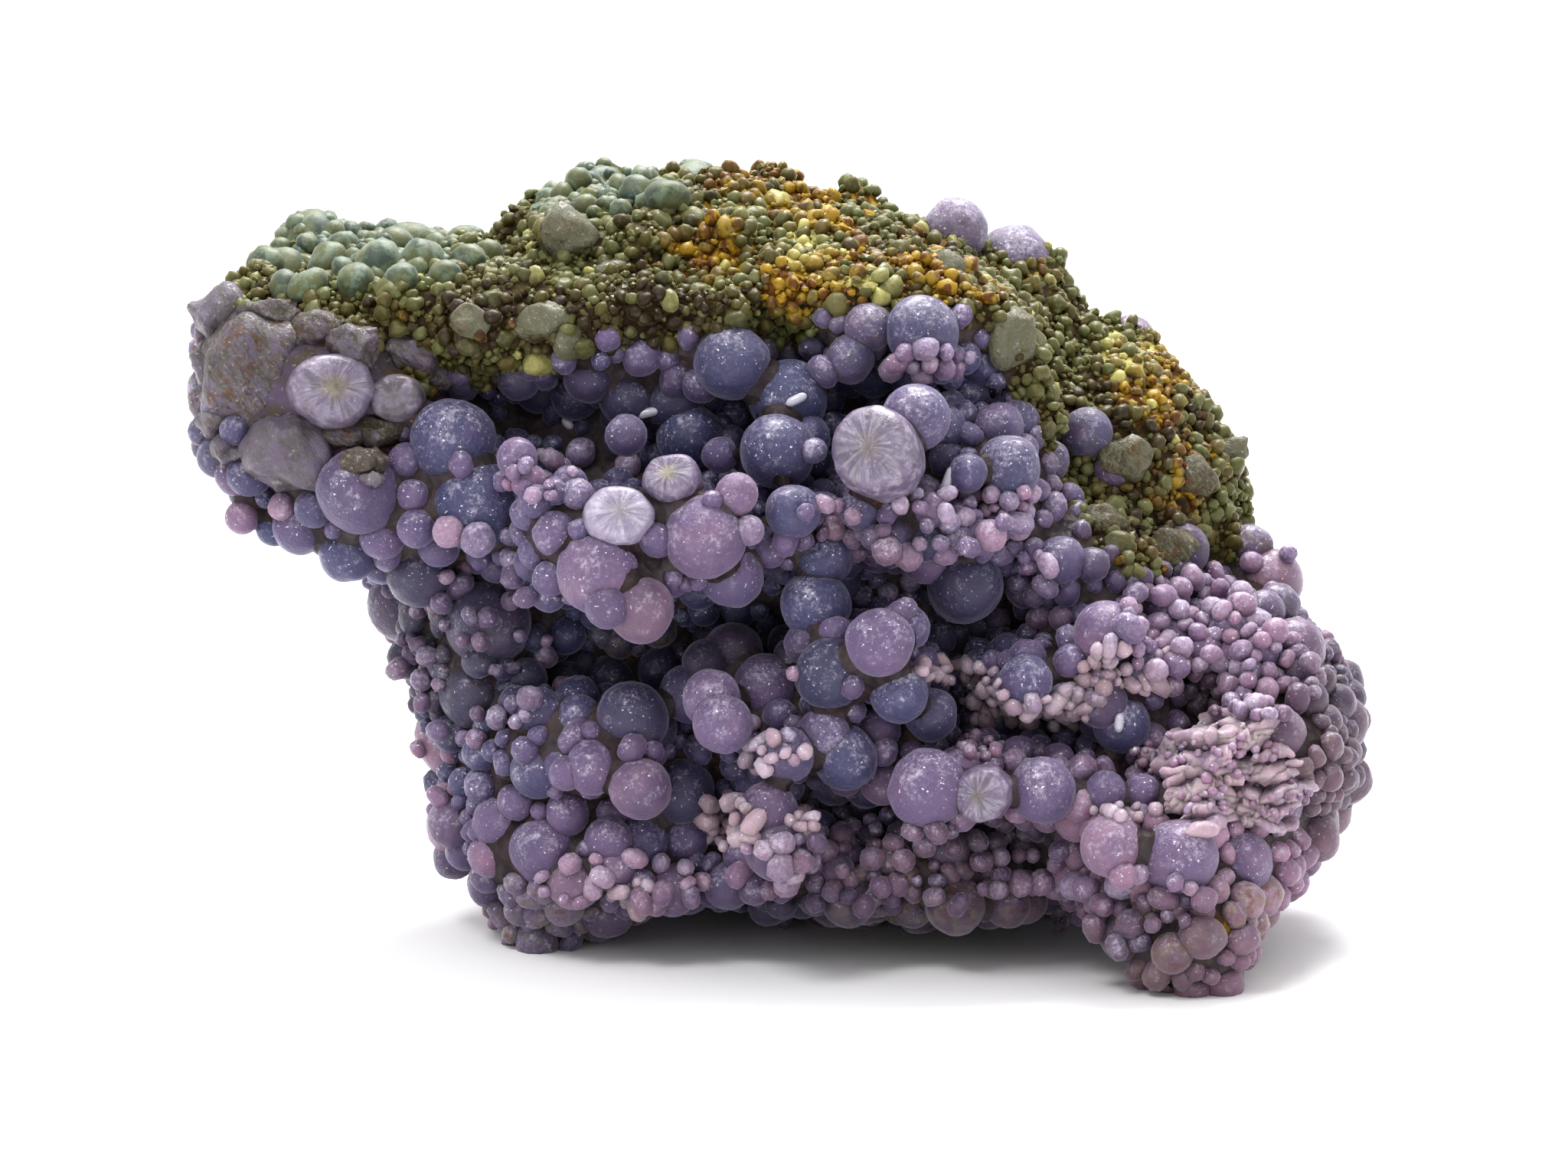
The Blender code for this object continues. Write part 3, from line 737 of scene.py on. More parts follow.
def ball_piece(name, balls, divisions, seed, material, lumps=0.02, squash=0.03, long=0.0, chips=0.0):
    """One piece made of many balls, with each ball's values on all its corners."""
    corners, faces, each = ball_meshes(balls, divisions, seed, lumps, squash, long, chips)
    obj = new_piece(name, corners, faces, material)
    for value_name, values in balls.values.items():
        add_values(obj, value_name, np.repeat(values, each))
    # Painted shade of each ball, which grape_finish mixes towards the dark matrix colour
    add_values(obj, "shade", np.repeat(balls.painted_shades(), each))
    # facing: how far each corner turns towards the lights, so that frost, painted glints and painted
    # lightening gather on the lit side
    away = corners - np.repeat(balls.arrays()[0], each, axis=0)
    away /= np.maximum(np.linalg.norm(away, axis=1, keepdims=True), 1e-9)
    add_values(obj, "facing", away @ np.array(FROST_AND_LIGHT_TOWARDS))
    return mount(obj)


def mount(obj, *nodes):
    """The piece rides on the stone's body, and stands for the CAD nodes named."""
    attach(obj, BODY)
    if nodes:
        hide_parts(*nodes)
    return obj


def mesh_arrays(obj):
    mesh = obj.data
    corners = np.empty(len(mesh.vertices) * 3, np.float32)
    mesh.vertices.foreach_get("co", corners)
    mesh.calc_loop_triangles()
    faces = np.empty(len(mesh.loop_triangles) * 3, np.int32)
    mesh.loop_triangles.foreach_get("vertices", faces)
    return corners.reshape(-1, 3).astype(float), faces.reshape(-1, 3)


def scattered(corners, faces, count, seed):
    """Random places on a surface, with its normal at each."""
    rng = np.random.default_rng(seed)
    a, b, c = (corners[faces[:, i]] for i in range(3))
    normals = np.cross(b - a, c - a)
    areas = np.linalg.norm(normals, axis=1)
    chosen = rng.choice(len(faces), size=count, p=areas / areas.sum())
    u, v = rng.random((2, count, 1))
    over = u + v > 1
    u, v = np.where(over, 1 - u, u), np.where(over, 1 - v, v)
    points = a[chosen] + u * (b - a)[chosen] + v * (c - a)[chosen]
    return points, normals[chosen] / np.maximum(areas[chosen, None], 1e-12)


class Stage:
    """What later pieces stand on: the surfaces and balls made so far."""

    rind = None
    grapes = BallList()
    supports = []

    @classmethod
    def tree(cls):
        """A search tree over every support."""
        corners, faces, start = [], [], 0
        for obj in cls.supports:
            own_corners, own_faces = mesh_arrays(obj)
            corners.append(own_corners)
            faces.append(own_faces + start)
            start += len(own_corners)
        return BVHTree.FromPolygons(np.concatenate(corners).tolist(), np.concatenate(faces).tolist())


def aim(tree, across, up):
    """Where a line of sight through (across, up) meets the stone, with the normal there, or None."""
    eye = place(EYE_ACROSS, EYE_HEIGHT, -EYE_DISTANCE)
    towards = (place(across, up, 0.0) - eye).normalized()
    point, normal, _, _ = tree.ray_cast(eye, towards)
    return (point, normal) if point else None


def aim_at(tree, across, up, thing):
    """As aim, for a thing that has to have stone behind it."""
    met = aim(tree, across, up)
    if met is None:
        raise RuntimeError(f"no stone behind the {thing} at {across}, {up}")
    return met


def inside_grapes(points, margin):
    """Whether each place lies inside a full-grown ball by more than margin."""
    centres, radii = Stage.grapes.arrays()
    hit = np.zeros(len(points), bool)
    for centre, radius in zip(centres, radii):
        hit |= np.linalg.norm(points - centre, axis=1) < radius - margin
    return hit


class Wire:
    """A node's socket that can be added, scaled and compared in a Python expression."""

    def __init__(self, board, socket):
        self.board = board
        self.socket = socket

    def math(self, operation, *values, clamp=False):
        settings = {"operation": operation, "use_clamp": clamp}
        return self.board.add("ShaderNodeMath", settings, dict(enumerate(values)))

    def __add__(self, other):
        return self.math("ADD", self, other)

    __radd__ = __add__

    def __sub__(self, other):
        return self.math("SUBTRACT", self, other)

    def __rsub__(self, other):
        return self.math("SUBTRACT", other, self)

    def __mul__(self, other):
        return self.math("MULTIPLY", self, other)

    __rmul__ = __mul__

    def held(self):
        """The same, kept between 0 and 1."""
        return self.math("ADD", self, 0.0, clamp=True)

    def above(self, low, high):
        """0 below low, 1 above high, smooth between."""
        settings = {"interpolation_type": "SMOOTHSTEP"}
        return self.board.add("ShaderNodeMapRange", settings, {0: self, 1: low, 2: high})


class Board:
    """A material's nodes, each made by one call."""

    def __init__(self, name):
        self.material = bpy.data.materials.new(name)
        self.material.use_nodes = True
        self.tree = self.material.node_tree
        self.shader = self.tree.nodes["Principled BSDF"]
        self.place = self.add("ShaderNodeTexCoord", {}, {}, output="Object")

    def add(self, kind, settings, inputs, output=0):
        node = self.tree.nodes.new(kind)
        for name, value in settings.items():
            setattr(node, name, value)
        for name, value in inputs.items():
            self.join(node.inputs[name], value)
        return Wire(self, node.outputs[output])

    def join(self, socket, value):
        if isinstance(value, Wire):
            self.tree.links.new(value.socket, socket)
        else:
            socket.default_value = value

    def set(self, **inputs):
        for name, value in inputs.items():
            self.join(self.shader.inputs[name.replace("_", " ")], value)

    def value(self, name):
        return self.add("ShaderNodeAttribute", {"attribute_name": name}, {}, output="Fac")

    def noise(self, size, detail=3.0, roughness=0.55, where=None):
        """Noise with features of about size millimetres, from 0 to 1."""
        inputs = {
            "Vector": where or self.place,
            "Scale": 1 / (size * MM),
            "Detail": detail,
            "Roughness": roughness,
        }
        return self.add("ShaderNodeTexNoise", {}, inputs)

    def cells(self, size):
        """How far each place is from the middle of its cell."""
        inputs = {"Vector": self.place, "Scale": 1 / (size * MM)}
        return self.add("ShaderNodeTexVoronoi", {"feature": "F1"}, inputs, output="Distance")

    def mix(self, share, first, second):
        settings = {"data_type": "RGBA", "blend_type": "MIX", "clamp_factor": True}
        first, second = (v if isinstance(v, Wire) else (*v, 1.0) for v in (first, second))
        return self.add("ShaderNodeMix", settings, {0: share, 6: first, 7: second}, output=2)

    def bump(self, height, distance, strength=1.0, normal=None):
        inputs = {"Strength": strength, "Distance": distance * MM, "Height": height}
        if normal is not None:
            inputs["Normal"] = normal
        return self.add("ShaderNodeBump", {}, inputs)


def looks():
    return bpy.context.scene.chalcedony_looks


def sizes():
    return bpy.context.scene.chalcedony_sizes


def grape_finish(name, pink="grape_pink"):
    """Frosted milky chalcedony: blue to lavender to pink by tone, dusted and cloudy, with painted shade on
    balls in the hollows and low down, and frost and painted glints gathered on the side facing the lights.
    """
    board = Board(name)
    look = looks()
    names = ("tone", "pale", "stain", "shade", "facing")
    tone, pale, stain, painted_shade, facing = (board.value(n) for n in names)
    clouds = board.noise(2.4, detail=3.0)
    # Frost caps and shards: real white frost, laid more on the side that faces the lights as a painted
    # highlight
    frost_and_highlight_caps = (board.noise(1.5, detail=4.0, roughness=0.7) + facing * 0.13).above(0.54, 0.70)
    frost_and_highlight_shards = (board.noise(0.8, detail=4.0, roughness=0.75) + facing * 0.10).above(0.66, 0.72)
    dust = board.noise(0.30, detail=4.0, roughness=0.8)
    sparks = board.noise(0.22, detail=1.0).above(0.69, 0.74)
    pits = board.noise(0.8, detail=3.0)
    shade = tone + (clouds - 0.5) * 0.6
    colour = board.mix(shade.above(0.0, 0.55), look.grape_blue, look.grape_lavender)
    colour = board.mix(shade.above(0.5, 1.0), colour, getattr(look, pink))
    # Painted shade: balls in the hollows, under ledges and near the floor are mixed towards the dark
    # matrix colour; it also thins their frost and glints below
    colour = board.mix(painted_shade * 0.8, colour, look.matrix)
    # The veil is real dust and cloudiness, with painted lightening on the side facing the lights and
    # painted shade taken off
    veil = frost_and_highlight_caps * 0.22 + (dust - 0.5) * (1.1 + frost_and_highlight_caps * 2.0) + pale - painted_shade * 0.3 + facing * 0.05
    colour = board.mix(veil.above(0.0, 0.9) * 0.7, colour, look.frost)
    colour = board.mix(frost_and_highlight_shards * (0.28 - painted_shade * 0.25), colour, look.frost)
    # Painted glints: near-white specks, mostly on the side facing the lights and none in the painted shade
    colour = board.mix(sparks * (facing.above(-0.4, 0.8) * 0.7 + 0.1) * (1 - painted_shade), colour, look.painted_glint)
    rust = stain * board.noise(0.9, detail=4.0, roughness=0.7).above(0.35, 0.65)
    colour = board.mix(rust * 0.85, colour, board.mix(pits.above(0.38, 0.50), look.rust, look.earth))
    normal = board.bump(pits, 0.20, strength=0.7)
    normal = board.bump(dust, 0.10, strength=0.9, normal=normal)
    board.set(
        Base_Color=colour,
        Roughness=0.24 + dust * 0.25 + rust * 0.2,
        Normal=normal,
        Specular_IOR_Level=0.35,
        Subsurface_Weight=0.5,
        Subsurface_Radius=(1.0, 0.75, 1.15),
        Subsurface_Scale=0.0012,
        Sheen_Weight=0.45,
        Sheen_Roughness=0.28,
        Sheen_Tint=(0.82, 0.80, 0.95, 1.0),
        Coat_Weight=frost_and_highlight_caps * 0.3 + frost_and_highlight_shards * 0.4 + sparks * 0.3,
        Coat_Roughness=0.16,
    )
    return board.material


def face_finish(name):
    """Broken stone: grey lavender, or grey green by pale, with slanting streaks of brown and olive."""
    board = Board(name)
    look = looks()
    tone, stain = board.value("tone"), board.value("stain")
    turned = {"Vector": board.place, "Rotation": (0.0, 0.96, 0.0), "Scale": (4.0, 1.0, 1.0)}
    slanted = board.add("ShaderNodeMapping", {"vector_type": "TEXTURE"}, turned)
    streaks = board.noise(0.40, detail=4.0, roughness=0.7, where=slanted)
    blotches = board.noise(1.9, detail=4.0, roughness=0.65)
    fine = board.noise(0.28, detail=4.0, roughness=0.75)
    colour = board.mix((blotches + tone * 0.2).above(0.40, 0.70), look.face_grey, look.mottle)
    colour = board.mix((blotches - tone * 0.2).above(0.25, 0.50) * 0.5, colour, look.grape_lavender)
    colour = board.mix(streaks.above(0.52, 0.60) * 0.5, colour, look.veiled)
    colour = board.mix(board.value("pale"), colour, look.crystal)
    brown = board.mix(fine.above(0.40, 0.60), look.umber, look.olive)
    colour = board.mix((stain * 0.4 + streaks - 0.3).above(0.30, 0.50) * 0.75, colour, brown)
    gold = board.noise(1.3, detail=4.0, roughness=0.7).above(0.57, 0.64)
    colour = board.mix(gold * stain.above(0.2, 0.5) * 0.7, colour, look.rust)
    colour = board.mix(fine.above(0.60, 0.70) * 0.6, colour, look.frost)
    normal = board.bump(streaks, 0.30, strength=0.8)
    board.set(
        Base_Color=colour,
        Roughness=0.25 + fine * 0.3,
        Normal=board.bump(fine, 0.12, strength=0.9, normal=normal),
        Specular_IOR_Level=0.4,
        Subsurface_Weight=0.3,
        Subsurface_Radius=(1.0, 0.8, 1.0),
        Subsurface_Scale=0.0010,
        Coat_Weight=fine.above(0.5, 0.6) * 0.5,
        Coat_Roughness=0.15,
    )
    return board.material


def rind_finish():
    """The stone between the balls: dark violet below, brown stained gold and green under the crust."""
    board = Board("rind_finish")
    look = looks()
    crust, iron, cream, green, dark, smooth = (
        board.value(n) for n in ("crust", "iron", "cream", "green", "dark", "smooth")
    )
    broad = board.noise(3.2, detail=4.0)
    middle = board.noise(1.1, detail=4.0, roughness=0.65)
    fine = board.noise(0.35, detail=4.0, roughness=0.7)
    grains = board.cells(0.75)
    stone = board.mix(broad.above(0.35, 0.65), look.matrix, look.face_grey)
    stone = board.mix(middle.above(0.55, 0.75) * 0.35, stone, look.rust)
    face = board.mix(broad.above(0.40, 0.66) * 0.6, look.face_grey, look.grape_lavender)
    face = board.mix(middle.above(0.50, 0.66) * 0.7, face, look.olive)
    face = board.mix(fine.above(0.58, 0.72) * 0.5, face, look.frost)
    stone = board.mix(smooth, stone, face)
    top = board.mix(middle.above(0.40, 0.72), look.umber, look.olive)
    top = board.mix((green * 1.3 - 0.3 + (middle - 0.5)).held(), top, look.moss)
    stained = (iron - 0.55 + (middle - 0.5) * 2.6).above(0.0, 0.2)
    gold = board.mix(board.noise(0.9, detail=3.0).above(0.48, 0.62), look.rust, look.gold)
    top = board.mix(stained, top, gold)
    top = board.mix((cream - 0.45 + (fine - 0.5) * 2.0).above(0.0, 0.35), top, look.cream)
    top = board.mix((dark - 0.45 + (fine - 0.5)).above(0.0, 0.4) * 0.85, top, look.umber)
    colour = board.mix(crust, stone, top)
    colour = board.mix(iron * (1 - crust) * middle.above(0.4, 0.6), colour, gold)
    rough = crust * 0.15 + 0.42 + (fine - 0.5) * 0.4 - smooth * 0.1
    coarse = board.bump(grains, 0.35, strength=0.8 * (1 - smooth * 0.7))
    board.set(
        Base_Color=colour,
        Roughness=rough,
        Normal=board.bump(fine, 0.10, strength=0.8, normal=coarse),
        Specular_IOR_Level=0.15,
        Subsurface_Weight=0.05,
        Subsurface_Radius=(1.0, 0.8, 1.0),
        Subsurface_Scale=0.0008,
    )
    return board.material


def grain_finish(name):
    """Sugar-like grains: clear grey-green to gold and rust, each grain its own shade."""
    board = Board(name)
    look = looks()
    tone, pale, stain = (board.value(n) for n in ("tone", "pale", "stain"))
    fine = board.noise(0.35, detail=4.0, roughness=0.7)
    colour = board.mix(tone.above(0.0, 0.5), look.umber, look.olive)
    colour = board.mix(tone.above(0.45, 1.0), colour, look.moss)
    yellow = (board.noise(0.9, detail=3.0) + stain * 0.2).above(0.60, 0.72)
    gold = board.mix(yellow, look.rust, look.gold)
    colour = board.mix((stain + (fine - 0.5) * 0.6).above(0.15, 0.7), colour, gold)
    veil = pale + (fine - 0.5) * 0.4
    colour = board.mix(veil.above(0.05, 0.55) * (1 - stain * 0.6), colour, look.crystal)
    colour = board.mix(veil.above(0.55, 1.0), colour, look.cream)
    board.set(
        Base_Color=colour,
        Roughness=0.22 + fine * 0.35,
        Normal=board.bump(fine, 0.08, strength=0.8),
        Specular_IOR_Level=0.25,
        Subsurface_Weight=0.35,
        Subsurface_Radius=(1.0, 0.9, 0.6),
        Subsurface_Scale=0.0008,
        Sheen_Weight=0.28,
        Sheen_Roughness=0.30,
        Sheen_Tint=(0.88, 0.88, 0.42, 1.0),
        Coat_Weight=fine.above(0.5, 0.6) * 0.35,
        Coat_Roughness=0.10,
    )
    return board.material


def green_finish(name):
    """Smooth sea-green chalcedony with a chalky bloom."""
    board = Board(name)
    look = looks()
    clouds = board.noise(1.6, detail=4.0)
    patchy = board.noise(1.1, detail=4.0, roughness=0.7)
    fine = board.noise(0.25, detail=4.0, roughness=0.7)
    colour = board.mix(clouds.above(0.35, 0.60), look.sea_green, look.moss)
    colour = board.mix((patchy + (fine - 0.5) * 0.3).above(0.48, 0.62) * 0.7, colour, look.bloom)
    board.set(
        Base_Color=colour,
        Roughness=0.4 + fine * 0.2,
        Normal=board.bump(fine, 0.05, strength=0.6),
        Subsurface_Weight=0.3,
        Subsurface_Radius=(0.8, 1.0, 0.8),
        Subsurface_Scale=0.0010,
        Sheen_Weight=0.2,
    )
    return board.material


def fibre_finish():
    """The flat face of a broken ball: pale fibres that run out from a warm core."""
    board = Board("fibre_finish")
    look = looks()
    names = ("east", "north", "ring", "warm", "cut", "dull")
    east, north, ring, warm, cut, dull = (board.value(n) for n in names)
    outwards = {0: east * 5.0 + warm * 9, 1: north * 5.0, 2: ring * 0.9}
    where = board.add("ShaderNodeCombineXYZ", {}, outwards)
    fibres = board.noise(1000.0, detail=4.0, roughness=0.65, where=where)
    fine = board.noise(0.25, detail=3.0, roughness=0.7)
    blotches = board.noise(1.0, detail=3.0)
    cloudy = board.noise(0.7, detail=4.0, roughness=0.7)
    rim = board.mix(cloudy.above(0.45, 0.65) * 0.7, look.grape_lavender, look.frost)
    shown = blotches.above(0.30, 0.62) * 0.7 + 0.4 - dull * 0.5
    face = board.mix(fibres.above(0.40, 0.64) * shown, look.grape_lavender, look.frost)
    face = board.mix(cloudy.above(0.48, 0.70) * 0.45, face, look.grape_blue)
    face = board.mix((1 - ring.above(0.05, 0.5)) * (warm * 0.7 + 0.1), face, look.cream)
    face = board.mix(fine.above(0.56, 0.66) * 0.6, face, look.frost)
    colour = board.mix(cut, rim, face)
    colour = board.mix(((0.4 - dull) * 0.9).held(), colour, look.frost)
    colour = board.mix(dull * 0.7, colour, look.veiled)
    colour = board.mix(blotches.above(0.45, 0.62) * dull * 0.8, colour, look.face_grey)
    colour = board.mix(cloudy.above(0.60, 0.68) * dull * 0.6, colour, look.rust)
    normal = board.bump(fibres + cloudy, 0.25, strength=0.9 * cut)
    board.set(
        Base_Color=colour,
        Roughness=0.24 + fine * 0.3,
        Normal=board.bump(fine, 0.05, strength=0.7, normal=normal),
        Subsurface_Weight=0.25,
        Subsurface_Radius=(1.0, 0.8, 1.1),
        Subsurface_Scale=0.0010,
        Coat_Weight=0.25,
        Coat_Roughness=0.15,
    )
    return board.material


def quartz_glint_finish():
    """Clear bright slips, milky inside; their pale colour stands partly for painted glints."""
    board = Board("quartz_glint_finish")
    look = looks()
    fine = board.noise(0.3, detail=2.0)
    board.set(
        Base_Color=board.mix(fine, look.frost, look.quartz),
        Roughness=0.12 + fine * 0.15,
        Subsurface_Weight=0.4,
        Subsurface_Radius=(1.0, 0.95, 1.0),
        Subsurface_Scale=0.0012,
        Coat_Weight=0.6,
        Coat_Roughness=0.08,
    )
    return board.material


def colour(name, description, default):
    return FloatVectorProperty(
        name=name, description=description, subtype="COLOR", size=3, min=0, max=1, default=default
    )


def length(name, description, default):
    return FloatProperty(
        name=name, description=description, subtype="DISTANCE", unit="LENGTH", min=0, default=default
    )


def number(name, description, default):
    return IntProperty(name=name, description=description, min=0, default=default)


def amount(name, description, default, unit="NONE"):
    return FloatProperty(name=name, description=description, unit=unit, min=0, default=default)


class ChalcedonyLooks(bpy.types.PropertyGroup):
    """Colours of the stone."""

    grape_blue: colour("Grape blue", "Slate blue of the balls in the hollows", (0.050, 0.053, 0.118))
    grape_lavender: colour("Grape lavender", "Lavender of most balls", (0.124, 0.086, 0.166))
    grape_pink: colour("Grape pink", "Pink of the small outer balls", (0.272, 0.158, 0.226))
    blush: colour("Blush", "The pinkish beige of the tiny grains", (0.390, 0.280, 0.308))
    mottle: colour("Mottle", "The palest of the broken face's domes", (0.128, 0.112, 0.122))
    veiled: colour("Veiled", "Grey lavender of the dull split faces", (0.175, 0.155, 0.180))
    frost: colour("Frost", "White dust on the balls", (0.470, 0.430, 0.520))
    # Painted glints: near-white specks that stand for glints of light on the frost
    painted_glint: colour("Glint", "Brightest specks of the frost", (0.850, 0.840, 0.880))
    # Dark stone between the balls, and also the colour that the painted shade on the balls goes towards
    matrix: colour("Matrix", "Dark stone between the balls", (0.026, 0.017, 0.019))
    face_grey: colour("Face grey", "Broken face at the left", (0.070, 0.056, 0.060))
    moss: colour("Moss", "Grey green grains of the top", (0.090, 0.098, 0.033))
    sea_green: colour("Sea green", "Smooth green knobs", (0.022, 0.046, 0.030))
    bloom: colour("Bloom", "Chalky bloom on the green knobs", (0.138, 0.185, 0.128))
    olive: colour("Olive", "Olive grains of the crust", (0.082, 0.066, 0.019))
    umber: colour("Umber", "Dark brown of the crust", (0.028, 0.016, 0.007))
    rust: colour("Rust", "Brown iron stain", (0.110, 0.040, 0.004))
    earth: colour("Earth", "Olive brown stain on the balls", (0.185, 0.148, 0.090))
    gold: colour("Gold", "Yellow iron stain", (0.300, 0.185, 0.012))
    cream: colour("Cream", "Pale yellow patches", (0.420, 0.380, 0.140))
    crystal: colour("Crystal", "Clear grains of the crust", (0.120, 0.122, 0.050))
    # Pale slips, partly as painted glints
    quartz: colour("Quartz", "Clear slips", (0.360, 0.360, 0.400))
    floor: colour("Floor", "Plain pale floor", (0.920, 0.920, 0.920))


class ChalcedonySizes(bpy.types.PropertyGroup):
    """Sizes and numbers of the small things."""

    rind_grid: length("Rind grid", "Spacing of the rind's mesh", 0.00072)
    bud_least: length("Least bud", "Radius of the smallest bud", 0.00060)
    bud_most: length("Largest bud", "Radius of the largest bud", 0.0017)
    lump_least: length("Least lump", "Radius of the smallest lump in the crust", 0.0007)
    lump_most: length("Largest lump", "Radius of the largest lump in the crust", 0.0011)
    seed_radius: length("Seed pearl", "Usual radius of a seed pearl on the hidden sides", 0.0005)
    grain_least: length("Least grain", "Radius of the smallest crust grain", 0.00018)
    grain_most: length("Largest grain", "Radius of the largest crust grain", 0.00068)
    bud_tries: number("Bud tries", "Places tried for buds", 21000)
    lump_tries: number("Lump tries", "Places tried for lumps in the crust", 160)
    grain_tries: number("Grain tries", "Places tried for grains of the crust", 48000)
    seed_tries: number("Seed tries", "Places tried for seed pearls on the hidden sides", 2000)


class ChalcedonyStudio(bpy.types.PropertyGroup):
    """Strength of the white surround and power of the lights."""

    sky: amount("Sky", "Strength of the white surround", 1.0)
    top_power: amount("Top light", "Power of the soft light above", 2.1, unit="POWER")
    side_power: amount("Side light", "Power of the soft light at the left", 0.8, unit="POWER")


class CHALCEDONY_OT_rind(bpy.types.Operator):
    """Make the stone's own surface, from the solid"""

    bl_idname = "chalcedony.rind"
    bl_label = "Rind"

    def execute(self, context):
        bm = bmesh.new()
        bm.from_mesh(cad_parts[NODE].data)
        bmesh.ops.remove_doubles(bm, verts=bm.verts, dist=1e-6)
        mesh = bpy.data.meshes.new("rind")
        bm.to_mesh(mesh)
        bm.free()
        mesh.materials.clear()
        obj = bpy.data.objects.new("rind", mesh)
        context.scene.collection.objects.link(obj)
        remesh = obj.modifiers.new("grid", "REMESH")
        remesh.mode = "VOXEL"
        remesh.voxel_size = sizes().rind_grid
        smooth = obj.modifiers.new("soften", "SMOOTH")
        smooth.iterations = 5
        smooth.factor = 0.6
        graph = context.evaluated_depsgraph_get()
        obj.data = bpy.data.meshes.new_from_object(obj.evaluated_get(graph))
        obj.modifiers.clear()
        self.roughen(obj)
        obj.data.shade_smooth()
        obj.data.materials.append(rind_finish())
        mount(obj, NODE)
        Stage.rind = obj
        Stage.supports.append(obj)
        return {"FINISHED"}

    def roughen(self, obj):
        """Moves the surface in and out: knobbly crust on top, soft swells elsewhere."""
        corners, _ = mesh_arrays(obj)
        normals = np.empty(len(corners) * 3, np.float32)
        obj.data.vertex_normals.foreach_get("vector", normals)
        crust, smooth = crust_share(corners), smooth_face_share(corners)
        swells, crumbs = waves(corners, RIND_SWELLS), waves(corners, RIND_CRUMBS)
        breaks = waves(corners, RIND_BREAKS)
        rise = swells + crumbs * crust + breaks * smooth * (1 - crust)
        rise = rise - RIND_SINK - RIND_CRUST_SINK * crust
        corners = corners + normals.reshape(-1, 3) * rise[:, None] * MM
        corners[:, 2] = np.maximum(corners[:, 2], 0.0)
        obj.data.vertices.foreach_set("co", corners.ravel())
        values = {"crust": crust, "smooth": smooth * (1 - crust), **crust_stains(corners)}
        for name, listed in values.items():
            add_values(obj, name, listed)


class CHALCEDONY_OT_grapes(bpy.types.Operator):
    """Make the full-grown balls: those of the front, and even ones on the hidden sides"""

    bl_idname = "chalcedony.grapes"
    bl_label = "Grapes"

    def execute(self, context):
        finish = grape_finish("grape_finish")
        rng = np.random.default_rng(31)
        front, lesser = BallList(), BallList()
        for across, up, depth, radius, tone in GRAPES:
            centre = place(across, up, depth)
            chosen = front if radius > LESSER_GRAPE else lesser
            near = smooth_step(6.0, -6.0, depth)
            top = 0.25 if up > 46 else 0.0
            mottled = 0.7 * smooth_face_share(np.array([centre]))[0]
            mud = 0.6 * patches(np.array([across]), np.array([up]), MUD_PATCHES)[0]
            pale = top + 0.10 * near * rng.random()
            chosen.add(centre, radius * MM, tone * 0.85, pale, max(mottled, mud))
        hidden = self.hidden_grapes()
        for listed in (front, lesser, hidden):
            for centre, radius in zip(*listed.arrays()):
                Stage.grapes.add(centre, radius)
        for name, listed, divisions, seed in (
            ("grapes", front, 4, 41),
            ("lesser_grapes", lesser, 3, 42),
            ("hidden_grapes", hidden, 3, 43),
        ):
            Stage.supports.append(ball_piece(name, listed, divisions, seed, finish, lumps=0.022))
        return {"FINISHED"}

    def hidden_grapes(self):
        """Balls over the solid's own, found by looking in at it from all round."""
        corners, faces = mesh_arrays(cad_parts[NODE])
        tree = BVHTree.FromPolygons(corners.tolist(), faces.tolist())
        found = BallList()
        for direction, radius in skin_directions():
            start = place(*(Vector(HEART) + direction * FAR_AWAY))
            inward = (place(*HEART) - start).normalized()
            point, _, _, _ = tree.ray_cast(start, inward)
            if point is None:
                continue
            centre = point + inward * radius * MM
            here = np.array([centre])
            if crust_share(here)[0] > 0.6:
                continue
            right = smooth_step(26.0, 36.0, seen_from_front(here)[0][0])
            tone = 0.55 + 0.40 * right
            tone = tone + 0.45 * wobble(here, 9.0, 17)[0] + 0.2 * wobble(here, 1.0, 19)[0]
            found.add(centre, radius * MM, min(1.0, max(0.0, tone)))
        return found


def skin_directions():
    """The direction and radius of each even place round the stone that is hidden and has no crust."""
    rng = random.Random(SKIN_SEED)
    golden_turn = math.pi * (3 - math.sqrt(5))
    scar = Vector(SCAR_TOWARDS).normalized()
    for i in range(SKIN_POINTS):
        z = 1 - 2 * (i + 0.5) / SKIN_POINTS
        ring = math.sqrt(1 - z * z)
        x, y = ring * math.cos(golden_turn * i), ring * math.sin(golden_turn * i)
        # The solid draws three numbers for a place, and only the second one is of use here
        rng.random()
        radius = rng.uniform(*HIDDEN_RADIUS)
        rng.random()
        direction = (Vector((x, y, z)) * Vector(HALF_SIZES)).normalized()
        on_crust = y > 0.5 or (x > 0.4 and y > 0.0 and z > -0.5) or (x < -0.8 and y > 0.0)
        on_scar = direction.angle(scar) < SCAR_HALF_ANGLE
        hidden = z > 0.12 or (y < -0.5 and z > -0.3)
        if hidden and not on_crust and not on_scar:
            yield direction, radius


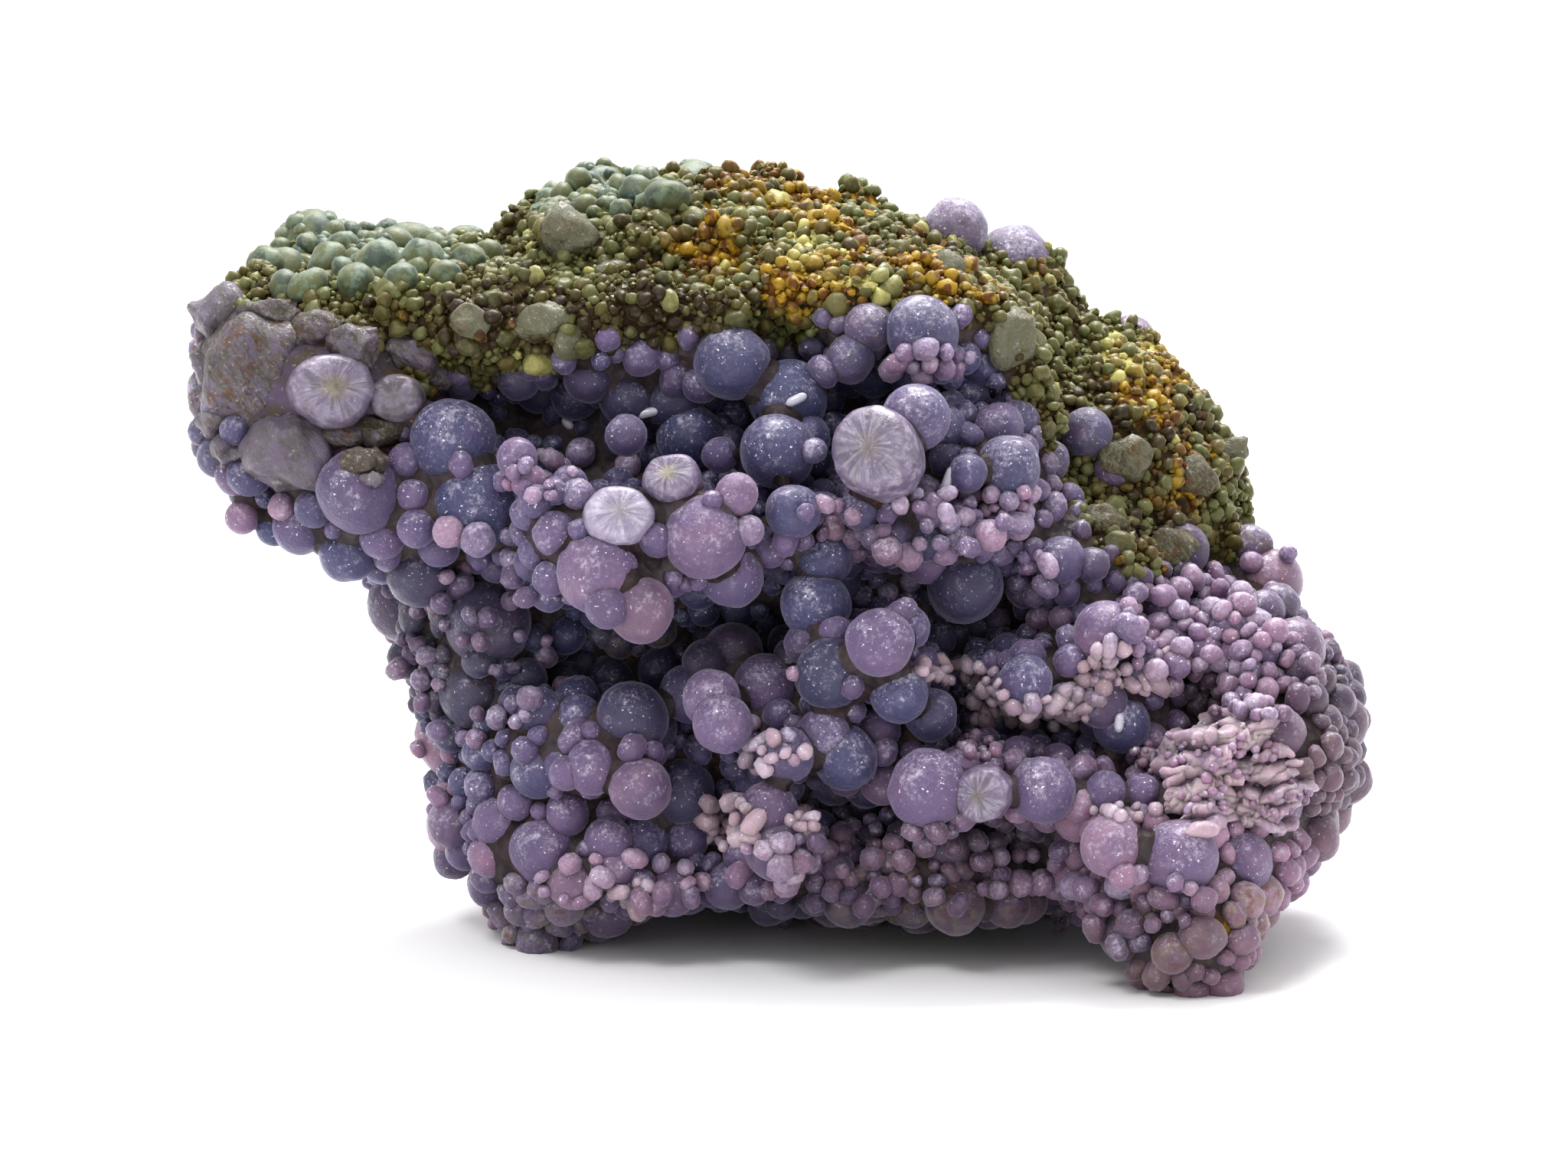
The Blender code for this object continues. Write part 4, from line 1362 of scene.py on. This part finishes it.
class CHALCEDONY_OT_split_grapes(bpy.types.Operator):
    """Make the broken balls, with flat faces of fibres"""

    bl_idname = "chalcedony.split_grapes"
    bl_label = "Split grapes"

    def execute(self, context):
        shape, faces = unit_ball(5)
        corners, all_faces = [], []
        values = {"east": [], "north": [], "ring": [], "warm": [], "cut": [], "dull": []}
        for i, split in enumerate(SPLIT_GRAPES):
            across, up, depth, radius, sideways, upwards, tall, warm, dull = split
            angle = np.arctan2(shape[:, 2], shape[:, 0])
            out = np.hypot(shape[:, 0], shape[:, 2])
            boxed = (np.abs(shape[:, 1]) ** 5 + out**5) ** -0.2
            front = smooth_step(0.25, -0.25, shape[:, 1])
            local = shape * (1 + (boxed - 1) * front)[:, None]
            cut = smooth_step(0.86, 0.98, -local[:, 1])
            ring = np.hypot(local[:, 0], local[:, 2])
            around = np.stack([np.cos(angle), np.sin(angle), np.full(len(angle), 3.0 * i)], axis=1) * MM
            uneven = 0.98 + 0.09 * wobble(around, 0.8, 131 + i)
            uneven = uneven + 0.03 * wobble(around, 0.25, 137 + i)
            ridges = 0.07 * wobble(around, 0.16, 139 + i) * ring
            local[:, 1] = local[:, 1] * 1.04 + cut * (ridges - 0.06 * (1 - ring))
            local[:, 0] *= uneven
            local[:, 2] *= uneven * tall
            turn = Matrix.Rotation(math.radians(-sideways), 3, "Z")
            turn = view_turn(3) @ turn @ Matrix.Rotation(math.radians(-upwards), 3, "X")
            corners.append(local * radius * MM @ np.array(turn).T + np.array(place(across, up, depth)))
            all_faces.append(faces + i * len(shape))
            for name, value in zip(values, (np.cos(angle), np.sin(angle), ring, warm, cut, dull)):
                values[name].append(np.broadcast_to(value, len(shape)))
            Stage.grapes.add(place(across, up, depth), radius * MM)
        corners, all_faces = np.concatenate(corners), np.concatenate(all_faces)
        obj = new_piece("split_grapes", corners, all_faces, fibre_finish())
        for name, value in values.items():
            add_values(obj, name, np.concatenate(value))
        Stage.supports.append(mount(obj))
        return {"FINISHED"}


class CHALCEDONY_OT_face_domes(bpy.types.Operator):
    """Make the flattened domes of the broken face at the left and in the crust"""

    bl_idname = "chalcedony.face_domes"
    bl_label = "Face domes"

    def execute(self, context):
        tree = Stage.tree()
        self.domes(tree, "face_domes", FACE_DOMES, 4, 0.16, 0.0)
        self.domes(tree, "crust_domes", CRUST_DOMES, 3, 0.0, 0.7)
        return {"FINISHED"}

    def domes(self, tree, name, listed, divisions, chips, greyness):
        """One piece of flattened domes, each on the surface that the camera sees."""
        domes = BallList()
        shapes = []
        for across, up, half_width, half_height, thickness, tone, stain in listed:
            point, _ = aim_at(tree, across, up, "dome")
            inwards = (place(across, up, 1.0) - place(across, up, 0.0)).normalized()
            sunk = point + inwards * max(0.0, thickness - DOME_RISE) * MM
            domes.add(sunk, MM, tone, greyness, stain)
            shapes.append((half_width, thickness, half_height))
        finish = face_finish(name + "_finish")
        obj = ball_piece(name, domes, divisions, 51, finish, lumps=0.10, chips=chips)
        corners, _ = mesh_arrays(obj)
        turn = np.array(view_turn(3))
        each = len(corners) // len(shapes)
        for i, (centre, shape) in enumerate(zip(domes.centres, shapes)):
            part = slice(i * each, (i + 1) * each)
            corners[part] = ((corners[part] - centre) @ turn * shape) @ turn.T + centre
        for i, seed in enumerate((131, 133, 135)):
            shift = wobble(corners, 1.3, seed) * 0.35 + wobble(corners, 0.5, seed + 10) * 0.14
            corners[:, i] += shift * MM
        obj.data.vertices.foreach_set("co", corners.ravel())
        Stage.supports.append(obj)
        for centre, shape in zip(domes.centres, shapes):
            Stage.grapes.add(centre, min(shape) * MM)


class CHALCEDONY_OT_green_knobs(bpy.types.Operator):
    """Make the green masses at the back of the top, set with smooth knobs"""

    bl_idname = "chalcedony.green_knobs"
    bl_label = "Green knobs"

    def execute(self, context):
        rng = np.random.default_rng(47)
        cores, knobs = BallList(), BallList()
        for across, up, depth, radius in GREEN_KNOBS:
            middle = place(across, up, depth)
            cores.add(middle, radius * MM)
            Stage.grapes.add(middle, radius * MM)
            for _ in range(KNOBS_EACH):
                way = Vector(rng.normal(size=3)).normalized()
                way.z = abs(way.z)
                small = radius * rng.uniform(0.12, 0.36)
                knobs.add(middle + way * (radius - small * 0.55) * MM, small * MM)
        tree = Stage.tree()
        for across, up, radius in GREEN_LUMPS:
            point, normal = aim_at(tree, across, up, "lump")
            centre = point + normal * radius * 0.25 * MM
            cores.add(centre, radius * MM)
            Stage.grapes.add(centre, radius * MM)
        finish = green_finish("green_finish")
        for piece in (
            ball_piece("green_cores", cores, 3, 52, finish, lumps=0.06, squash=0.20),
            ball_piece("green_knobs", knobs, 2, 53, finish, lumps=0.05, squash=0.12),
        ):
            Stage.supports.append(piece)
        return {"FINISHED"}


class CHALCEDONY_OT_buds(bpy.types.Operator):
    """Cover the stone between the full-grown balls with buds"""

    bl_idname = "chalcedony.buds"
    bl_label = "Buds"

    def execute(self, context):
        tree = Stage.tree()
        crowd = Crowd(2 * sizes().bud_most)
        small, large = BallList(), BallList()
        for across, up, radius, tone in AIMED_BUDS:
            point, normal = aim_at(tree, across, up, "bud")
            centre = point + normal * radius * 0.35 * MM
            large.add(centre, radius * MM, tone, 0.25)
            crowd.add(centre, radius * MM)
        rng = np.random.default_rng(59)
        corners, faces = mesh_arrays(Stage.rind)
        points, normals = scattered(corners, faces, sizes().bud_tries, 61)
        bare = (smooth_face_share(points) > 0.5) & (normals[:, 0] > -0.55)
        keep = (crust_share(points) < 0.6) & ~bare
        keep &= ~inside_grapes(points, -0.30 * MM) | (rng.random(len(points)) < BUDS_ON_GRAPES)
        keep &= ~inside_grapes(points, 0.15 * MM)
        across, up, depth = seen_from_front(points)
        keep &= (patches(across, up, HOLE_PATCHES) < 0.5) | (depth > 12)
        points, normals = points[keep], normals[keep]
        across, up, depth = seen_from_front(points)
        tones = self.tones(points, across, up, depth)
        mud = patches(across, up, MUD_PATCHES) * (0.5 + 0.5 * rng.random(len(points)))
        chances = rng.random(len(points))
        least, most = sizes().bud_least, sizes().bud_most
        for point, normal, tone, chance, deep, stain in zip(points, normals, tones, chances, depth, mud):
            radius = least + (most - least) * chance**1.7
            centre = point + normal * radius * 0.05
            if crowd.fits(centre, radius, 0.70 if deep < 10 else 0.85):
                crowd.add(centre, radius)
                limit = LARGE_BUD_NEAR if deep < NEAR_DEPTH else LARGE_BUD_ANYWHERE
                chosen = large if radius > limit * MM else small
                chosen.add(centre, radius, tone, 0.10 * (1 - chance) + 0.20 * stain, stain)
        finish = grape_finish("bud_finish")
        for piece in (
            ball_piece("large_buds", large, 3, 67, finish, lumps=0.03, squash=0.07),
            ball_piece("small_buds", small, 2, 71, finish, lumps=0.03, squash=0.10, long=0.5),
        ):
            Stage.supports.append(piece)
        return {"FINISHED"}

    def tones(self, points, across, up, depth):
        """Bluer and darker in the hollows as painted shade, pinker towards the lower right, the floor and
        the outside.
        """
        low = smooth_step(20.0, 6.0, up)
        right = smooth_step(8.0, 30.0, across)
        # Painted shade: buds deeper in the hollows take a bluer, darker tone
        painted_hollow_shade = smooth_step(-4.0, 6.0, depth) * (depth < 14)
        tone = 0.45 + 0.30 * low + 0.35 * right - 0.35 * painted_hollow_shade + 0.16 * wobble(points, 5.0, 73)
        return np.clip(tone, 0, 1)


class CHALCEDONY_OT_seed_pearls(bpy.types.Operator):
    """Make the strings and patches of tiny pale pink balls"""

    bl_idname = "chalcedony.seed_pearls"
    bl_label = "Seed pearls"

    def execute(self, context):
        tree = Stage.tree()
        rng = np.random.default_rng(79)
        seeds, rods = BallList(), BallList()
        crowd = Crowd(1.8 * MM)
        for listed, balls in ((SEED_PATCHES, seeds), (ROD_PATCHES, rods)):
            for patch in listed:
                self.fill(patch, balls, tree, crowd, rng)
        self.hidden_seeds(seeds, crowd, rng)
        finish = grape_finish("seed_finish")
        rod_finish = grape_finish("rod_finish", pink="blush")
        for piece in (
            ball_piece("seed_pearls", seeds, 2, 83, finish, lumps=0.04, squash=0.14, long=0.4),
            ball_piece("rods", rods, 2, 85, rod_finish, lumps=0.06, squash=0.10, long=0.8),
        ):
            Stage.supports.append(piece)
        return {"FINISHED"}

    def fill(self, patch, balls, tree, crowd, rng):
        """Adds a patch's tiny balls to a list, as the camera sees the patch."""
        across, up, half_width, half_height, count, radius, tone = patch
        made, tries = 0, 0
        while made < count and tries < count * SEED_TRIES_EACH:
            tries += 1
            angle, reach = rng.uniform(0, 2 * math.pi), math.sqrt(rng.random())
            sideways, upwards = half_width * reach * math.cos(angle), half_height * reach * math.sin(angle)
            met = aim(tree, across + sideways, up + upwards)
            size = radius * rng.uniform(0.65, 1.45) * MM
            if met is None:
                continue
            centre = met[0] + met[1] * size * 0.5
            if crust_share(np.array([centre]))[0] < 0.5 and crowd.fits(centre, size, 0.8):
                crowd.add(centre, size)
                shade = min(1.0, max(0.0, tone + rng.normal() * 0.10))
                balls.add(centre, size, shade, 0.05 + 0.40 * rng.random())
                made += 1

    def hidden_seeds(self, seeds, crowd, rng):
        """Clumps of seed pearls on the back and the ends."""
        rind_and_grapes = Stage.supports[:4]
        for obj in rind_and_grapes:
            corners, faces = mesh_arrays(obj)
            points, normals = scattered(corners, faces, sizes().seed_tries, 89)
            clump = wobble(points, 3.0, 97) > 0.25
            _, _, depth = seen_from_front(points)
            keep = clump & (depth > 8) & (crust_share(points) < 0.4) & ~inside_grapes(points, 0.1 * MM)
            for point, normal in zip(points[keep], normals[keep]):
                size = sizes().seed_radius * rng.uniform(0.7, 1.4)
                centre = point + normal * size * 0.5
                if crowd.fits(centre, size, 0.85):
                    crowd.add(centre, size)
                    seeds.add(centre, size, rng.uniform(0.6, 1.0), 0.1)


class CHALCEDONY_OT_crust(bpy.types.Operator):
    """Strew the crust with grains"""

    bl_idname = "chalcedony.crust"
    bl_label = "Crust grains"

    def execute(self, context):
        rng = np.random.default_rng(101)
        corners, faces = mesh_arrays(Stage.rind)
        points, normals = scattered(corners, faces, sizes().grain_tries, 103)
        more, their_normals = scattered(corners, faces, sizes().grain_tries, 137)
        facing = (their_normals[:, 1] < -0.3) & (seen_from_front(more)[2] < 14)
        points, normals = np.vstack([points, more[facing]]), np.vstack([normals, their_normals[facing]])
        share = crust_share(points)
        keep = (share > 0.22) & ~inside_grapes(points, 0.1 * MM)
        points, normals = points[keep], normals[keep]
        iron, cream, green, dark = crust_stains(points).values()
        rusty = smooth_step(-0.20, 0.20, wobble(points, 1.7, 119))
        drift, brown = wobble(points, 3.4, 121), smooth_step(0.15, 0.5, wobble(points, 1.9, 123))
        lumps, coarse, fine, greens = BallList(), BallList(), BallList(), BallList()
        crowd = Crowd(2 * sizes().lump_most)
        least, most = sizes().grain_least, sizes().grain_most
        for i, (point, normal) in enumerate(zip(points, normals)):
            chance = rng.random()
            if i < sizes().lump_tries:
                radius = sizes().lump_least + (sizes().lump_most - sizes().lump_least) * chance**1.5
                centre = point - normal * radius * 0.15
                chosen = lumps
            else:
                radius = least + (most - least) * chance**1.6
                centre = point + normal * radius * 0.45
                chosen = coarse if radius > COARSE_GRAIN * MM else fine
            if green[i] > 0.75 + 0.2 * rng.random() and chosen is not lumps:
                radius = radius * 1.3 + 0.2 * MM
                chosen = greens
            if not crowd.fits(centre, radius, 1.05 if chosen is lumps else 0.60):
                continue
            crowd.add(centre, radius)
            tone = 0.42 + 0.6 * green[i] - 0.50 * dark[i] + 0.4 * drift[i] + rng.normal() * 0.22
            stain = iron[i] * (0.15 + 0.85 * rusty[i]) + 0.45 * brown[i] * (1 - green[i]) * rng.random()
            clear = rng.random() ** (1.5 + 3.0 * dark[i])
            pale = 0.5 * clear * (1 - cream[i]) + cream[i] * rng.uniform(0.4, 1.0)
            # Painted glints: about one grain in fourteen is made much paler, besides the clear grains
            pale += 0.4 * (rng.random() > 0.93)
            if chosen is lumps:
                pale = max(pale, 0.3)
            chosen.add(centre, radius, min(1, max(0, tone)), min(1, pale), min(1, max(0, stain)))
        finish = grain_finish("grain_finish")
        ball_piece("crust_lumps", lumps, 3, 105, finish, lumps=0.10, squash=0.2, chips=0.30)
        green_look = green_finish("green_grain_finish")
        ball_piece("green_grains", greens, 2, 111, green_look, lumps=0.08, squash=0.2)
        ball_piece("coarse_grains", coarse, 2, 107, finish, lumps=0.10, squash=0.25, chips=0.3)
        grains = ball_piece("fine_grains", fine, 1, 109, finish, lumps=0.05, squash=0.25, long=0.5)
        grains.data.shade_flat()
        return {"FINISHED"}


class CHALCEDONY_OT_ruffles(bpy.types.Operator):
    """Make the ruffled pink ledges at the lower right"""

    bl_idname = "chalcedony.ruffles"
    bl_label = "Pink ruffles"

    def execute(self, context):
        tree = Stage.tree()
        rng = np.random.default_rng(113)
        corners, faces, tones, pales = [], [], [], []
        for row in RUFFLES:
            for layer in range(RUFFLE_LAYERS):
                path = self.path(tree, row, layer * 0.42 + rng.uniform(-0.15, 0.15), rng)
                ring = self.plate(path, row[4], rng)
                start = len(corners)
                corners.extend(ring.reshape(-1, 3))
                faces.extend(self.skin(len(ring), start))
                tones.extend(np.repeat(rng.uniform(0.75, 1.0, len(ring)), RUFFLE_SIDES))
                edge = np.maximum(np.cos(self.angles()), 0)
                pales.extend(np.tile(0.05 + 0.15 * edge, len(ring)))
        finish = grape_finish("ruffle_finish", pink="blush")
        corners = np.array(corners)
        grainy = []
        for seed in (141, 143, 145):
            grainy.append(waves(corners, [(0.8, seed, 3, 0.16), (0.3, seed + 1, 3, 0.07)]))
        obj = new_piece("pink_ruffles", corners + np.stack(grainy, axis=1) * MM, faces, finish)
        bm = bmesh.new()
        bm.from_mesh(obj.data)
        bmesh.ops.recalc_face_normals(bm, faces=bm.faces)
        bm.to_mesh(obj.data)
        bm.free()
        zeros = np.zeros(len(tones))
        # facing: the upper side of each plate, where grape_finish puts frost and painted glints as on a
        # lit side
        rises = np.tile(np.sin(self.angles()), len(tones) // RUFFLE_SIDES)
        listed = {"tone": tones, "pale": pales, "stain": zeros, "shade": zeros, "facing": rises}
        for name, values in listed.items():
            add_values(obj, name, values)
        Stage.supports.append(mount(obj))
        return {"FINISHED"}

    def angles(self):
        return np.arange(RUFFLE_SIDES) * 2 * math.pi / RUFFLE_SIDES

    def path(self, tree, row, raised, rng):
        """Where a plate's middle runs over the stone, and which way is outwards, smoothed."""
        across, up, last_across, last_up, _ = row
        start, phases = rng.uniform(0, 0.15), rng.uniform(0, 6, 2)
        places, outwards = [], []
        for share in np.arange(start, rng.uniform(0.85, 1.0), RUFFLE_STEP / (last_across - across)):
            wave = 0.45 * math.sin(9 * share + phases[0]) + 0.2 * math.sin(27 * share + phases[1])
            height = up + (last_up - up) * share + wave + raised
            met = aim(tree, across + (last_across - across) * share, height)
            if met is not None:
                places.append(met[0])
                outwards.append(met[1])
        soft = np.ones(RUFFLE_BLUR) / RUFFLE_BLUR
        smooth = [np.convolve(column, soft, "valid") for column in np.array(places).T]
        turned = [np.convolve(column, soft, "valid") for column in np.array(outwards).T]
        return np.array(smooth).T, np.array(turned).T

    def plate(self, path, radius, rng):
        """Rings of corners round the path: wide outwards, thin upwards, with a beaded edge."""
        middles, outwards = path
        count = len(middles)
        outwards = outwards * np.array([1.0, 1.0, 0.2])
        outwards /= np.linalg.norm(outwards, axis=1, keepdims=True)
        step = np.arange(count)
        taper = np.minimum(1, np.minimum(step + 0.3, count - 0.7 - step) / 4) ** 0.6
        beads = 0.18 * np.sin(step * 1.9 + rng.uniform(0, 6))
        beads = beads + 0.22 * np.sin(step * 0.7 + rng.uniform(0, 6))
        wide = radius * (1.8 + beads * 1.5 + rng.normal(size=count) * 0.16) * taper * MM
        thick = radius * (0.78 + rng.normal(size=count) * 0.10) * taper * MM
        angle = self.angles()
        out = outwards[:, None] * (np.cos(angle)[None, :, None] * wide[:, None, None])
        rise = np.sin(angle)[None, :, None] * thick[:, None, None] * np.array([0.0, 0.0, 1.0])
        return middles[:, None] + out + rise

    def skin(self, count, start):
        """Faces of a tube of count rings whose corners begin at start, closed at its ends."""
        faces = [tuple(range(start, start + RUFFLE_SIDES))]
        for i in range(count - 1):
            for j in range(RUFFLE_SIDES):
                here, there = start + i * RUFFLE_SIDES, start + (i + 1) * RUFFLE_SIDES
                k = (j + 1) % RUFFLE_SIDES
                faces.append((here + j, here + k, there + k, there + j))
        last = start + (count - 1) * RUFFLE_SIDES
        faces.append(tuple(range(last, last + RUFFLE_SIDES)))
        return faces


class CHALCEDONY_OT_quartz(bpy.types.Operator):
    """Make the few bright slips of quartz, whose pale colour stands partly for painted glints"""

    bl_idname = "chalcedony.quartz"
    bl_label = "Quartz slips"

    def execute(self, context):
        tree = Stage.tree()
        shape, faces = unit_ball(3)
        corners, all_faces = [], []
        for across, up, long, lean in QUARTZ_GLINT_SLIPS:
            point, normal = aim_at(tree, across, up, "quartz")
            local = shape * np.array([0.32, 0.32, 0.5]) * MM
            local[:, 2] += np.sign(shape[:, 2]) * (long / 2 - 0.5) * MM * (np.abs(shape[:, 2]) > 0.02)
            turn = view_turn(3) @ Matrix.Rotation(math.radians(lean), 3, "Y")
            corners.append(local @ np.array(turn).T + np.array(point + normal * 0.1 * MM))
            all_faces.append(faces + len(all_faces) * len(shape))
        corners, all_faces = np.concatenate(corners), np.concatenate(all_faces)
        mount(new_piece("quartz_glint_slips", corners, all_faces, quartz_glint_finish()))
        return {"FINISHED"}


class CHALCEDONY_OT_stage(bpy.types.Operator):
    """Make the plain floor, the soft light and the camera"""

    bl_idname = "chalcedony.stage"
    bl_label = "Stage"

    def execute(self, context):
        self.floor()
        studio = context.scene.chalcedony_studio
        self.light("top_light", *TOP_LIGHT, studio.top_power)
        self.light("side_light", *SIDE_LIGHT, studio.side_power)
        self.sky(context)
        self.camera(context)
        return {"FINISHED"}

    def floor(self):
        bm = bmesh.new()
        bmesh.ops.create_grid(bm, x_segments=2, y_segments=2, size=FLOOR_SIZE)
        mesh = bpy.data.meshes.new("floor")
        bm.to_mesh(mesh)
        bm.free()
        board = Board("floor_finish")
        board.set(Base_Color=(*looks().floor, 1.0), Roughness=0.75)
        mesh.materials.append(board.material)
        obj = bpy.data.objects.new("floor", mesh)
        bpy.context.scene.collection.objects.link(obj)

    def light(self, name, place_at, size, power):
        data = bpy.data.lights.new(name, "AREA")
        data.shape = "DISK"
        data.size = size
        data.energy = power
        obj = bpy.data.objects.new(name, data)
        obj.location = place_at
        towards = Vector(LIT_PLACE) - Vector(place_at)
        obj.rotation_euler = towards.to_track_quat("-Z", "Y").to_euler()
        bpy.context.scene.collection.objects.link(obj)

    def sky(self, context):
        world = bpy.data.worlds.new("white_surround")
        world.use_nodes = True
        background = world.node_tree.nodes["Background"]
        background.inputs["Color"].default_value = (1.0, 1.0, 1.0, 1.0)
        background.inputs["Strength"].default_value = context.scene.chalcedony_studio.sky
        context.scene.world = world

    def camera(self, context):
        data = bpy.data.cameras.new("camera")
        data.sensor_width = SENSOR_WIDTH
        data.lens = SENSOR_WIDTH * EYE_DISTANCE / PICTURE_WIDTH
        data.clip_start = 0.01
        obj = bpy.data.objects.new("camera", data)
        obj.location = place(0.0, EYE_HEIGHT, -EYE_DISTANCE) + Vector((EYE_ACROSS * MM, 0, 0))
        obj.rotation_euler = (math.pi / 2 - EYE_ELEVATION, 0, 0)
        context.scene.collection.objects.link(obj)
        context.scene.camera = obj
        context.scene.view_settings.view_transform = "Standard"
        context.scene.view_settings.look = "Medium High Contrast"


class CHALCEDONY_PT_panel(bpy.types.Panel):
    """Lists the steps that dress the stone"""

    bl_idname = "CHALCEDONY_PT_panel"
    bl_label = "Botryoidal chalcedony"
    bl_space_type = "VIEW_3D"
    bl_region_type = "UI"
    bl_category = "Stone"

    def draw(self, context):
        for operator in OPERATORS:
            self.layout.operator(operator.bl_idname)


OPERATORS = (
    CHALCEDONY_OT_rind,
    CHALCEDONY_OT_grapes,
    CHALCEDONY_OT_split_grapes,
    CHALCEDONY_OT_face_domes,
    CHALCEDONY_OT_green_knobs,
    CHALCEDONY_OT_buds,
    CHALCEDONY_OT_ruffles,
    CHALCEDONY_OT_seed_pearls,
    CHALCEDONY_OT_crust,
    CHALCEDONY_OT_quartz,
    CHALCEDONY_OT_stage,
)
CLASSES = (ChalcedonyLooks, ChalcedonySizes, ChalcedonyStudio, *OPERATORS, CHALCEDONY_PT_panel)


def register():
    for made in CLASSES:
        bpy.utils.register_class(made)
    bpy.types.Scene.chalcedony_looks = PointerProperty(type=ChalcedonyLooks)
    bpy.types.Scene.chalcedony_sizes = PointerProperty(type=ChalcedonySizes)
    bpy.types.Scene.chalcedony_studio = PointerProperty(type=ChalcedonyStudio)


def unregister():
    del bpy.types.Scene.chalcedony_studio
    del bpy.types.Scene.chalcedony_sizes
    del bpy.types.Scene.chalcedony_looks
    for made in reversed(CLASSES):
        bpy.utils.unregister_class(made)


def main():
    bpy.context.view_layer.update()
    register()
    for operator in OPERATORS:
        step = operator.bl_idname.split(".")[1]
        getattr(bpy.ops.chalcedony, step)()


if __name__ == "__main__":
    main()
